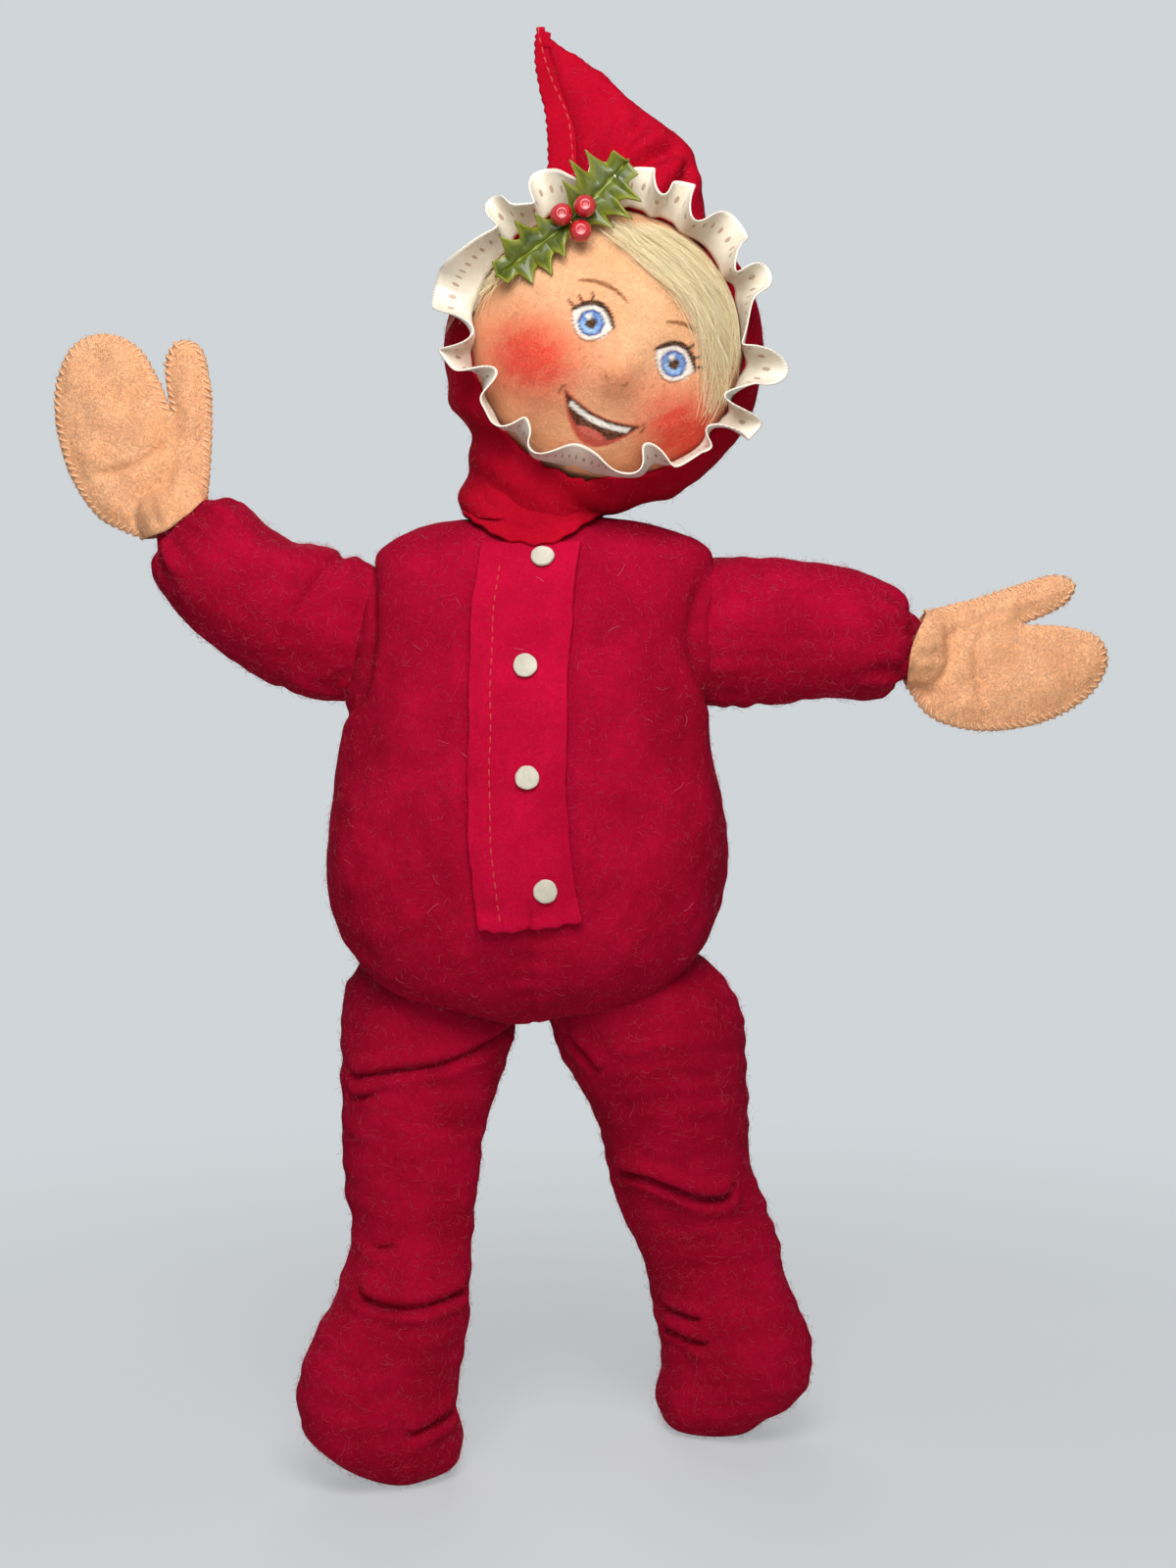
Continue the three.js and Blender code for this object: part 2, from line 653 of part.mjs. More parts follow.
placeSolid(torso, "torso_filling", torsoCore, filling);
place(torso, "shoulder_wire", wireAlong(shoulderCurve(0), WIRE_RADIUS, SHOULDER_STEPS), steel);
place(torso, "hip_wire", wireAlong(hipCurve, WIRE_RADIUS, HIP_STEPS), steel);

// Front strip, a band of felt that follows the body
function placketStrip() {
  const [low, high] = [PLACKET_LOW, placketHigh];
  const half = PLACKET_WIDTH / 2;
  const outline = new THREE.Shape();
  outline.moveTo(PLACKET_SHIFT - half + PLACKET_FLARE, low);
  outline.lineTo(PLACKET_SHIFT + half + PLACKET_FLARE, low);
  outline.lineTo(PLACKET_SHIFT + half, high);
  outline.lineTo(PLACKET_SHIFT - half, high);
  const slab = new THREE.ExtrudeGeometry(outline, { depth: TORSO_DEPTH, bevelEnabled: false });
  slab.rotateX(Math.PI / 2); // extruded towards -y
  const band = torsoSolid(-GAP - FELT).subtract(torsoSolid(-GAP));
  return band.intersect(solidOf(slab));
}
placeSolid(torso, "placket", placketStrip(), redFelt);

BUTTON_OFFSETS.forEach((x, i) => {
  const z = THREE.MathUtils.lerp(PLACKET_LOW, placketHigh, BUTTON_SHARES[i]);
  const disc = new THREE.CylinderGeometry(BUTTON_RADIUS, BUTTON_RADIUS, FELT, BUTTON_SIDES);
  const button = place(torso, `button_${i + 1}`, disc, whiteFelt);
  const { point, out } = torsoFront(x, z, 2 * GAP + FELT);
  button.position.copy(point).addScaledVector(out, FELT / 2);
  button.quaternion.setFromUnitVectors(Y, out);
});

// Neckband, a ring of felt on the shoulders, higher on the side that the head leans away from
function neckband() {
  const pivot = TORSO_HEIGHT + NECK_RISE;
  const low = shoulderRise;
  const top = FAR;
  const ring = solidOf(bar(NECKBAND_RADIUS, low, pivot + top, BALL.sides))
    .subtract(solidOf(bar(NECKBAND_BORE, low - GAP, pivot + top + GAP, BALL.sides)));
  const lean = Math.atan2(NECKBAND_LEFT - NECKBAND_RIGHT, 2 * NECKBAND_RADIUS);
  const over = new THREE.BoxGeometry(4 * FAR, 4 * FAR, 4 * FAR).translate(0, 0, 2 * FAR);
  over.rotateY(lean).translate(0, 0, pivot + (NECKBAND_LEFT + NECKBAND_RIGHT) / 2);
  return ring.subtract(solidOf(over)).subtract(torsoSolid(-2 * GAP - FELT));
}
placeSolid(torso, "neckband", neckband(), hoodFelt);

const neck = neckBend.limb;
const neckWireChannel = solidOf(bar(WIRE_RADIUS + GAP, -FAR, FAR, WIRE_SIDES));
const neckPlug = solidOf(bar(NECK_RADIUS - SEAM_LIP, 0, NECK_PLUG, BALL.sides));
const neckCore = solidOf(ball(NECK_RADIUS, BALL)).add(neckPlug);
placeSolid(neck, "neck_core", neckCore.subtract(neckWireChannel), filling);
const [neckWireLow, neckWireHigh] = [WIRE_BREAK - NECK_RADIUS, NECK_PLUG - WIRE_BREAK];
place(neck, "neck_wire", bar(WIRE_RADIUS, neckWireLow, neckWireHigh, WIRE_SIDES), steel);

// Head, turned on the neck
const head = new THREE.Group();
head.name = "head";
head.position.z = HEAD_RISE;
head.rotation.z = rad(HEAD_TURN - 90);
neck.add(head);

const headSolid = (grow) => {
  const facets = grow < 0 ? HEAD_INSIDE : HEAD;
  const egg = new THREE.SphereGeometry(1, facets.sides, facets.rows).rotateX(Math.PI / 2);
  return solidOf(egg.scale(HEAD_HALF_WIDTH + grow, HEAD_HALF_DEPTH + grow, HEAD_HALF_HEIGHT + grow));
};
const neckHole = solidOf(bar(hollowFor(NECK_RADIUS), -FAR, NECK_PLUG - HEAD_RISE + GAP, BALL.sides));
placeSolid(head, "face", headSolid(0).subtract(headSolid(-FELT)).subtract(neckHole), fleshFelt);
placeSolid(head, "head_filling", headSolid(-FELT - GAP).subtract(neckHole), filling);

// Hood with its pointed tail, a flat cone that bends over to one side
function tailSolid(inset) {
  const outline = new THREE.Shape();
  const [tipX, tipZ] = HOOD_TIP;
  const crown = HEAD_HALF_HEIGHT;
  outline.moveTo(-0.72 * HEAD_HALF_WIDTH, 0.62 * crown);
  outline.splineThru([new THREE.Vector2(0.86 * tipX, 0.8 * tipZ), new THREE.Vector2(tipX, tipZ)]);
  outline.lineTo(tipX + HOOD_TIP_DEPTH, tipZ);
  outline.splineThru([
    new THREE.Vector2(tipX + 0.84 * HEAD_HALF_WIDTH, tipZ - 0.3 * crown),
    new THREE.Vector2(0.14 * HEAD_HALF_WIDTH, 1.4 * crown),
    new THREE.Vector2(0.34 * HEAD_HALF_WIDTH, 0.9 * crown),
  ]);
  outline.lineTo(0, 0.55 * crown);
  const depth = HOOD_TAIL_DEPTH - 2 * HOOD_TAIL_ROUND;
  const geometry = new THREE.ExtrudeGeometry(outline, {
    depth,
    curveSegments: 2,
    bevelThickness: HOOD_TAIL_ROUND - inset,
    bevelSize: FELT - inset,
    bevelOffset: -FELT,
    bevelSegments: 1,
  });
  geometry.translate(0, 0, -depth / 2).rotateX(Math.PI / 2);
  const corners = geometry.getAttribute("position");
  for (let i = 0; i < corners.count; i++) {
    const rise = THREE.MathUtils.clamp((corners.getZ(i) - 0.8 * crown) / (tipZ - 0.8 * crown), 0, 1);
    const thin = THREE.MathUtils.lerp(1, HOOD_TIP_DEPTH / HOOD_TAIL_DEPTH, rise);
    corners.setY(i, corners.getY(i) * thin);
  }
  return solidOf(geometry);
}

function faceOpening() {
  const oval = new THREE.Shape();
  oval.absellipse(0, OPENING_RISE, OPENING_HALF_WIDTH, OPENING_HALF_HEIGHT, 0, 2 * Math.PI);
  const through = { depth: FAR, curveSegments: OVAL_STEPS, bevelEnabled: false };
  return solidOf(new THREE.ExtrudeGeometry(oval, through).rotateX(Math.PI / 2));
}

const belowHood = new THREE.BoxGeometry(2 * FAR, 2 * FAR, FAR).translate(0, 0, -HOOD_SKIRT - FAR / 2);
const hood = headSolid(GAP + FELT).add(tailSolid(0))
  .subtract(headSolid(GAP).add(tailSolid(FELT / 2)))
  .subtract(faceOpening())
  .subtract(solidOf(belowHood));
placeSolid(head, "hood", hood, hoodFelt);

// Ruffle, a gathered ribbon that stands out in waves round the face opening
function ruffleGeometry() {
  const steps = RUFFLE_WAVES * WAVE_STEPS;
  const halves = [HEAD_HALF_WIDTH, HEAD_HALF_HEIGHT, HEAD_HALF_DEPTH];
  const [wide, tall, deep] = halves.map((half) => half + GAP + FELT);
  const positions = [];
  const faces = [];
  for (let i = 0; i < steps; i++) {
    const turn = (2 * Math.PI * i) / steps;
    const [across, up] = [Math.cos(turn), Math.sin(turn)];
    const [x, z] = [OPENING_HALF_WIDTH * across, OPENING_RISE + OPENING_HALF_HEIGHT * up];
    const rim = -deep * Math.sqrt(1 - (x / wide) ** 2 - (z / tall) ** 2) - RUFFLE_LEAD;
    const wave = RUFFLE_SWING * Math.sin(RUFFLE_WAVES * turn);
    for (const [out, y] of [[0, rim], [RUFFLE_WIDTH, rim - RUFFLE_SWING / 2 + wave]]) {
      for (const back of [0, RUFFLE_THICK]) positions.push(x + out * across, y + back, z + out * up);
    }
    const [near, next] = [4 * i, 4 * ((i + 1) % steps)];
    for (const [a, b] of [[0, 1], [1, 3], [3, 2], [2, 0]]) {
      faces.push(near + b, near + a, next + b, next + b, near + a, next + a);
    }
  }
  const geometry = new THREE.BufferGeometry();
  geometry.setAttribute("position", new THREE.Float32BufferAttribute(positions, 3));
  geometry.setIndex(faces);
  geometry.computeVertexNormals();
  return geometry;
}
place(head, "ruffle", ruffleGeometry(), ribbon);

// Hair, a tuft that sweeps from the brow down one side of the face
function hairSolid() {
  const outline = new THREE.Shape();
  const reach = HAIR_REACH;
  const edge = (turn) => new THREE.Vector2(reach * Math.cos(rad(turn)), reach * Math.sin(rad(turn)));
  outline.moveTo(edge(HAIR_LOW).x, edge(HAIR_LOW).y);
  outline.absarc(0, 0, reach, rad(HAIR_LOW), rad(HAIR_HIGH));
  outline.splineThru([
    new THREE.Vector2(0.15 * reach, 0.68 * reach),
    new THREE.Vector2(0.5 * reach, 0.52 * reach),
    new THREE.Vector2(0.76 * reach, 0.33 * reach),
    edge(HAIR_LOW),
  ]);
  const slab = new THREE.ExtrudeGeometry(outline, { depth: FAR, curveSegments: 6, bevelEnabled: false });
  return headSolid(GAP + HAIR_THICK).subtract(headSolid(GAP)).intersect(solidOf(slab.rotateX(Math.PI / 2)));
}
placeSolid(head, "hair", hairSolid(), mohair);

// Holly: two spiny leaves and three berries on a short stem
function leafGeometry() {
  const outline = new THREE.Shape();
  const half = LEAF_WIDTH / 2;
  const step = LEAF_LENGTH / (LEAF_SPINES + 1);
  outline.moveTo(0, 0);
  for (const side of [1, -1]) {
    for (let i = 0; i < LEAF_SPINES; i++) {
      const spine = side > 0 ? i + 1 : LEAF_SPINES - i;
      const swell = Math.sin((Math.PI * spine) / (LEAF_SPINES + 1));
      const [low, high] = side > 0 ? [-1, 1] : [1, -1];
      outline.lineTo(side * half * 0.55 * swell, step * (spine + 0.35 * low));
      outline.lineTo(side * half * (0.6 + 0.4 * swell), step * spine);
      outline.lineTo(side * half * 0.55 * swell, step * (spine + 0.35 * high));
    }
    if (side > 0) outline.lineTo(0, LEAF_LENGTH);
  }
  return new THREE.ExtrudeGeometry(outline, { depth: LEAF_THICK, bevelEnabled: false }).rotateX(Math.PI / 2);
}

const holly = new THREE.Group();
const [hollyX, hollyZ] = HOLLY_PLACE;
const hollyShare = 1 - (hollyX / HEAD_HALF_WIDTH) ** 2 - (hollyZ / HEAD_HALF_HEIGHT) ** 2;
holly.position.set(hollyX, -HEAD_HALF_DEPTH * Math.sqrt(hollyShare) - HOLLY_LEAD, hollyZ);
head.add(holly);

const leafStart = WIRE_RADIUS + 2 * GAP;
LEAF_TURNS.forEach((turn, i) => {
  const leaf = place(holly, `holly_leaf_${i + 1}`, leafGeometry(), leafGreen);
  leaf.rotation.y = rad(-turn);
  leaf.position.set(-leafStart * Math.sin(rad(turn)), 0, leafStart * Math.cos(rad(turn)));
});
const stem = bar(WIRE_RADIUS, 0, HOLLY_LEAD - 2 * GAP, WIRE_SIDES).rotateX(-Math.PI / 2);
place(holly, "holly_stem", stem, leafGreen);
for (let i = 0; i < BERRIES; i++) {
  const turn = rad((360 * i) / BERRIES + BERRY_TURN);
  const round = new THREE.SphereGeometry(BERRY_RADIUS, BERRY_SIDES, BERRY_ROWS);
  const berry = place(holly, `berry_${i + 1}`, round, berryRed);
  const out = (BERRY_RADIUS + GAP) / Math.sin(Math.PI / BERRIES);
  berry.position.set(out * Math.cos(turn), -BERRY_RADIUS - LEAF_THICK - GAP, out * Math.sin(turn));
}

// The part's origin is on the floor, under the middle of its outline
doll.updateMatrixWorld(true);
const middle = new THREE.Box3().setFromObject(doll, true).getCenter(new THREE.Vector3());
const part = new THREE.Group();
doll.position.set(-middle.x, -middle.y, 0);
part.add(doll);

export default part;
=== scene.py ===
import json
import math

import bmesh
import bpy
import numpy as np
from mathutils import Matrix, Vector
from mathutils.bvhtree import BVHTree
from mathutils.geometry import delaunay_2d_cdt


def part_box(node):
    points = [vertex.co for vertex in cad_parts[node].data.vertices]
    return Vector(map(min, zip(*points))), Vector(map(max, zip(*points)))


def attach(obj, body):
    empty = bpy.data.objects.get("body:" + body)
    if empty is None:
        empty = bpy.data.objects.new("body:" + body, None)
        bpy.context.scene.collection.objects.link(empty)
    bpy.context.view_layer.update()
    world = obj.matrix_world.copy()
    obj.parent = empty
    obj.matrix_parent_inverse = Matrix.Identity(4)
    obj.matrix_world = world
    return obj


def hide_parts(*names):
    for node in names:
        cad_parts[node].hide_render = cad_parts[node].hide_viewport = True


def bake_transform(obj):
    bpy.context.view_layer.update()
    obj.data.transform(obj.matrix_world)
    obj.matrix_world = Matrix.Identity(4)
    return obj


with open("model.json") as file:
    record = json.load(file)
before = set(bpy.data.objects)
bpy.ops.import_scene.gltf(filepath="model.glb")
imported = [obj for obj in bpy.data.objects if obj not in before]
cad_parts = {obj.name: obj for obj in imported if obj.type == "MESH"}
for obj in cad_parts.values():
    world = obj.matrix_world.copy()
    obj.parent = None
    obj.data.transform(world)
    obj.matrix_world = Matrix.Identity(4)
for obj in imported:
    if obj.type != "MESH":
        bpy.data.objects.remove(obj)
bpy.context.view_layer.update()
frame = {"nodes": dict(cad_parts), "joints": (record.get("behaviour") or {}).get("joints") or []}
scene = bpy.context.scene
mm = 0.001
joints = {j["name"]: j for j in frame["joints"]}
print("frame loaded:", len(frame["nodes"]), "nodes")


# places and directions taken from the frame, in millimetres

def jointAt(name):
    return np.array(joints[name]["pos_m"], float) / mm


def unit(v):
    v = np.asarray(v, float)
    return v / np.linalg.norm(v)


def nodeBox(name):
    low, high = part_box(name)
    return np.array(low) / mm, np.array(high) / mm


def nodeMid(name):
    low, high = nodeBox(name)
    return (low + high) / 2


def metres(p):
    return tuple(float(a) * mm for a in p)


outWay = {"right": -1, "left": 1}  # along x, away from the doll's middle
upright = np.array([0, 0, 1.0])
toBack = (0, 1, 0)


# numbers

def ease(t):
    t = np.clip(t, 0, 1)
    return t * t * (3 - 2 * t)


def bell(d, width):
    return np.exp(-(np.asarray(d) / width) ** 2)


def spline(points, count):
    # smooth rows through the given rows, spaced by the distance between them
    p = np.asarray(points, float)
    steps = np.linalg.norm(np.diff(p[:, :3], axis=0), axis=1) ** 0.5 + 1e-9
    at = np.concatenate([[0], np.cumsum(steps)])
    slope = np.gradient(p, at, axis=0)
    t = np.linspace(0, at[-1], count)
    i = np.clip(np.searchsorted(at, t, side="right") - 1, 0, len(p) - 2)
    h = (at[i + 1] - at[i])[:, None]
    u = ((t - at[i]) / (at[i + 1] - at[i]))[:, None]
    a, b = 2 * u**3 - 3 * u**2 + 1, -2 * u**3 + 3 * u**2
    c, d = u**3 - 2 * u**2 + u, u**3 - u**2
    return a * p[i] + b * p[i + 1] + c * h * slope[i] + d * h * slope[i + 1]


def smoothRows(table, count):
    # a table's rows, smoothed along its first column
    return spline([(0, 0, *row) for row in table], count)[:, 2:]


def flatSpline(points, count):
    p = np.asarray(points, float)
    return spline(np.column_stack([p, np.zeros(len(p))]), count)[:, :2]


def fullTurn(count):
    return np.linspace(0, 2 * math.pi, count, endpoint=False)


def runAlong(path):
    # length from the start of a line to each of its points
    return np.concatenate([[0], np.cumsum(np.linalg.norm(np.diff(path, axis=0), axis=1))])


def softNoise(co, size, seed):
    # a few waves in fixed random directions, from -1 to 1
    rng = np.random.default_rng(seed)
    total = np.zeros(len(co))
    for _ in range(9):
        way = unit(rng.normal(size=3)) * 2 * math.pi / (size * rng.uniform(0.7, 1.6))
        total += np.sin(co @ way + rng.uniform(0, 2 * math.pi))
    return total / 4


def alongPath(co, path):
    # distance to a polyline, the length along it, and the nearest point on it
    path = np.asarray(path, float)
    best = np.full(len(co), 1e9)
    where = np.zeros(len(co))
    near = np.zeros_like(co)
    run = 0.0
    for a, b in zip(path[:-1], path[1:]):
        d = b - a
        length = np.linalg.norm(d)
        t = np.clip(((co - a) @ d) / (length * length + 1e-12), 0, 1)
        q = a + t[:, None] * d
        gap = np.linalg.norm(co - q, axis=1)
        closer = gap < best
        best[closer] = gap[closer]
        where[closer] = run + t[closer] * length
        near[closer] = q[closer]
        run += length
    return best, where, near, run


# meshes

def makeObject(name, points, faces, material=None):
    mesh = bpy.data.meshes.new(name)
    mesh.from_pydata((np.asarray(points, float) * mm).tolist(), [], faces)
    mesh.update()
    mesh.polygons.foreach_set("use_smooth", [True] * len(mesh.polygons))
    obj = bpy.data.objects.new(name, mesh)
    scene.collection.objects.link(obj)
    if material:
        mesh.materials.append(material)
    return obj


def loft(rings, closed=True):
    # quads between rings of points, with a pole at each end
    rings = np.asarray(rings, float)
    rows, sides = rings.shape[:2]
    points = rings.reshape(-1, 3).tolist()
    faces = []
    for r in range(rows - 1):
        for s in range(sides):
            n = (s + 1) % sides
            faces.append((r * sides + s, r * sides + n, (r + 1) * sides + n, (r + 1) * sides + s))
    if closed:
        for r, turn in ((0, 1), (rows - 1, -1)):
            pole = len(points)
            points.append(rings[r].mean(axis=0).tolist())
            for s in range(sides):
                n = (s + 1) % sides
                face = (pole, r * sides + n, r * sides + s)
                faces.append(face if turn > 0 else face[::-1])
    return points, faces


def gridFaces(rows, columns):
    corners = [j * columns + i for j in range(rows - 1) for i in range(columns - 1)]
    return [(a, a + 1, a + columns + 1, a + columns) for a in corners]


def rimOf(faces):
    # the edges that only one face has, in that face's direction
    edges = dict.fromkeys((a, b) for f in faces for a, b in zip(f, f[1:] + f[:1]))
    return [(a, b) for a, b in edges if (b, a) not in edges]


def mapFlat(obj, name, flat):
    # a flat map from one row for each point
    corners = np.empty(len(obj.data.loops), int)
    obj.data.loops.foreach_get("vertex_index", corners)
    layer = obj.data.uv_layers.new(name=name)
    layer.data.foreach_set("uv", np.asarray(flat, np.float32)[corners].ravel())


def readPoints(obj):
    co = np.empty(len(obj.data.vertices) * 3)
    obj.data.vertices.foreach_get("co", co)
    return co.reshape(-1, 3) / mm


def writePoints(obj, co):
    obj.data.vertices.foreach_set("co", (np.asarray(co) * mm).ravel())
    obj.data.update()


def readNormals(obj):
    no = np.empty(len(obj.data.vertices) * 3)
    obj.data.vertices.foreach_get("normal", no)
    return no.reshape(-1, 3)


def settle(obj):
    # the evaluated shape becomes the mesh itself, and no modifier is left
    bpy.context.view_layer.update()
    graph = bpy.context.evaluated_depsgraph_get()
    done = bpy.data.meshes.new_from_object(obj.evaluated_get(graph))
    old = obj.data
    obj.modifiers.clear()
    obj.data = done
    bpy.data.meshes.remove(old)
    done.name = obj.name
    done.polygons.foreach_set("use_smooth", [True] * len(done.polygons))
    return obj


def turnOut(obj):
    work = bmesh.new()
    work.from_mesh(obj.data)
    bmesh.ops.remove_doubles(work, verts=work.verts, dist=1e-6)
    bmesh.ops.recalc_face_normals(work, faces=work.faces)
    work.to_mesh(obj.data)
    work.free()
    obj.data.update()


def fuse(name, shapes, voxel, smoothing):
    # closed shapes become one skin
    points, faces = [], []
    for some, those in shapes:
        base = len(points)
        points.extend(some)
        faces.extend(tuple(i + base for i in f) for f in those)
    obj = makeObject(name, points, faces)
    turnOut(obj)
    net = obj.modifiers.new("skin", "REMESH")
    net.mode = "VOXEL"
    net.voxel_size = voxel * mm
    soft = obj.modifiers.new("soften", "SMOOTH")
    soft.factor = 0.5
    soft.iterations = smoothing
    return settle(obj)


feltCloth = {"quality": 6, "mass": 0.2, "stretch": 12, "shear": 6, "bend": 1.5, "leastWeight": 0.02}


def stuff(obj, filling, held):
    # cloth that swells under pressure, held at the points where it is sewn down
    rest = readPoints(obj)
    group = obj.vertex_groups.new(name="sewn")
    weights = np.clip(held(rest), 0, 1)
    for i in np.nonzero(weights > feltCloth["leastWeight"])[0]:
        group.add([int(i)], float(weights[i]), "REPLACE")
    cloth = obj.modifiers.new("stuffing", "CLOTH")
    s = cloth.settings
    s.quality = feltCloth["quality"]
    s.mass = feltCloth["mass"]
    s.tension_stiffness = s.compression_stiffness = feltCloth["stretch"]
    s.shear_stiffness = feltCloth["shear"]
    s.bending_stiffness = feltCloth["bend"]
    s.use_pressure = True
    s.uniform_pressure_force = filling["pressure"]
    s.shrink_min = s.shrink_max = -filling["slack"]
    s.effector_weights.gravity = 0
    s.vertex_group_mass = "sewn"
    cloth.collision_settings.use_collision = False
    cloth.point_cache.frame_start, cloth.point_cache.frame_end = 1, filling["frames"]
    for f in range(1, filling["frames"] + 1):
        scene.frame_set(f)
    graph = bpy.context.evaluated_depsgraph_get()
    full = obj.evaluated_get(graph).to_mesh()
    co = np.empty(len(full.vertices) * 3)
    full.vertices.foreach_get("co", co)
    move = co.reshape(-1, 3) / mm - rest
    far = np.linalg.norm(move, axis=1)
    share = np.minimum(1, filling["cap"] / np.maximum(far, 1e-6))
    obj.modifiers.clear()
    obj.vertex_groups.clear()
    writePoints(obj, rest + move * share[:, None])
    scene.frame_set(1)
    print("stuffed", obj.name, len(rest), "points, moved up to", round(float(far.max()), 1), "mm")
    return obj


def thicken(obj, thick, offset):
    wall = obj.modifiers.new("wall", "SOLIDIFY")
    wall.thickness = thick * mm
    wall.offset = offset
    return settle(obj)


def subdivide(obj, levels):
    fine = obj.modifiers.new("fine", "SUBSURF")
    fine.levels = fine.render_levels = levels
    return settle(obj)


# finishes, built from nodes on Object coordinates or on a piece's own attribute

def feed(tree, node, inputs):
    # links what comes from another node, and sets plain values on the socket itself
    for key, value in inputs.items():
        socket = node.inputs[key]
        if isinstance(value, bpy.types.NodeSocket):
            tree.links.new(value, socket)
        else:
            socket.default_value = value
    return node


def put(tree, kind, inputs=None, **settings):
    node = tree.nodes.new(kind)
    for key, value in settings.items():
        setattr(node, key, value)
    return feed(tree, node, inputs or {})


def newFinish(name):
    material = bpy.data.materials.new(name)
    material.use_nodes = True
    tree = material.node_tree
    return material, tree, tree.nodes["Principled BSDF"]


def rgb(color):
    return (*color, 1.0)


def grain(tree, where, size, detail=2.0, distortion=0.0):
    # noise whose features are about size millimetres across
    inputs = {"Vector": where, "Scale": 1 / (size * mm), "Detail": detail, "Distortion": distortion}
    return put(tree, "ShaderNodeTexNoise", inputs).outputs["Fac"]


def span(tree, value, low, high, start=0.0, stop=1.0):
    inputs = {"Value": value, "From Min": low, "From Max": high, "To Min": start, "To Max": stop}
    return put(tree, "ShaderNodeMapRange", inputs).outputs["Result"]


def blendColor(tree, share, first, second):
    return put(tree, "ShaderNodeMix", {0: share, 6: first, 7: second}, data_type="RGBA").outputs[2]


def calc(tree, operation, a, b=0.0):
    return put(tree, "ShaderNodeMath", {0: a, 1: b}, operation=operation).outputs[0]


def square(tree, value):
    return calc(tree, "POWER", calc(tree, "ABSOLUTE", value), 2.0)


def vector(tree, **parts):
    return put(tree, "ShaderNodeCombineXYZ", parts).outputs[0]


def addBump(tree, shader, height, strength, depth):
    bump = put(tree, "ShaderNodeBump", {"Height": height, "Strength": strength, "Distance": depth * mm})
    tree.links.new(bump.outputs["Normal"], shader.inputs["Normal"])


def feltFinish(name, look):
    material, tree, shader = newFinish(name)
    where = put(tree, "ShaderNodeTexCoord").outputs["Object"]
    fine = grain(tree, where, look["fibre"], 3.0, 1.6)
    swirl = grain(tree, where, look["fibre"] * 3.2, 2.0, 2.4)
    tufts = grain(tree, where, look["fibre"] * 4.5, 3.0, 0.8)
    patches = grain(tree, where, look["patch"], 2.0, 0.3)
    # hairs lie along the lines where the swirling noise crosses its middle
    hairs = span(tree, calc(tree, "ABSOLUTE", calc(tree, "SUBTRACT", swirl, 0.5)), 0.0, 0.045, 1.0, 0.0)
    color = blendColor(tree, span(tree, patches, 0.3, 0.7), rgb(look["deep"]), rgb(look["color"]))
    color = blendColor(tree, span(tree, tufts, 0.45, 0.72, 0.0, 0.6), color, rgb(look["deep"]))
    color = blendColor(tree, span(tree, fine, 0.55, 0.72, 0.0, look["loose"]), color, rgb(look["pale"]))
    color = blendColor(tree, calc(tree, "MULTIPLY", hairs, look["loose"]), color, rgb(look["pale"]))
    if look.get("paint"):
        paint = put(tree, "ShaderNodeAttribute", attribute_name=look["paint"])
        soak = span(tree, fine, 0.35, 0.6, 0.8, 1.0)
        cover = calc(tree, "MULTIPLY", paint.outputs["Alpha"], soak)
        color = blendColor(tree, cover, color, paint.outputs["Color"])
    height = calc(tree, "ADD", calc(tree, "MULTIPLY", fine, 0.6), tufts)
    height = calc(tree, "ADD", height, calc(tree, "MULTIPLY", hairs, 0.35))
    addBump(tree, shader, height, look["nap"], look["fibre"])
    feed(tree, shader, {"Base Color": color, "Roughness": 0.95, "Specular IOR Level": 0.03,
                        "Sheen Weight": look["sheen"], "Sheen Roughness": 0.6,
                        "Sheen Tint": rgb(look["pale"])})
    return material


felts = {
    "suit": {"color": (0.43, 0.002, 0.030), "deep": (0.29, 0.001, 0.017), "pale": (0.60, 0.018, 0.060),
             "fibre": 0.6, "patch": 20, "loose": 0.35, "nap": 0.7, "sheen": 0.02},
    "hood": {"color": (0.46, 0.002, 0.019), "deep": (0.35, 0.001, 0.012), "pale": (0.62, 0.020, 0.042),
             "fibre": 0.55, "patch": 18, "loose": 0.30, "nap": 0.55, "sheen": 0.02},
    "strip": {"color": (0.49, 0.002, 0.033), "deep": (0.37, 0.001, 0.022), "pale": (0.66, 0.024, 0.060),
              "fibre": 0.55, "patch": 18, "loose": 0.30, "nap": 0.55, "sheen": 0.02},
    "flesh": {"color": (0.98, 0.50, 0.255), "deep": (0.90, 0.41, 0.195), "pale": (1.0, 0.64, 0.40),
              "fibre": 0.7, "patch": 11, "loose": 0.5, "nap": 0.9, "sheen": 0.03},
    "face": {"color": (0.84, 0.46, 0.245), "deep": (0.74, 0.37, 0.18), "pale": (0.90, 0.58, 0.35),
             "fibre": 0.65, "patch": 18, "loose": 0.45, "nap": 0.8, "sheen": 0.03, "paint": "paint"},
    "white": {"color": (0.66, 0.62, 0.50), "deep": (0.50, 0.46, 0.36), "pale": (0.80, 0.77, 0.68),
              "fibre": 0.5, "patch": 6, "loose": 0.3, "nap": 0.5, "sheen": 0.08},
}
finishes = {key: feltFinish(key + "_felt", look) for key, look in felts.items()}


def threadFinish(name, color, rough):
    material, tree, shader = newFinish(name)
    where = put(tree, "ShaderNodeTexCoord").outputs["Object"]
    strands = grain(tree, where, 0.25, 1.0, 0.6)
    shade = blendColor(tree, span(tree, strands, 0.3, 0.7), rgb([c * 0.6 for c in color]), rgb(color))
    feed(tree, shader, {"Base Color": shade, "Roughness": rough, "Sheen Weight": 0.2})
    return material


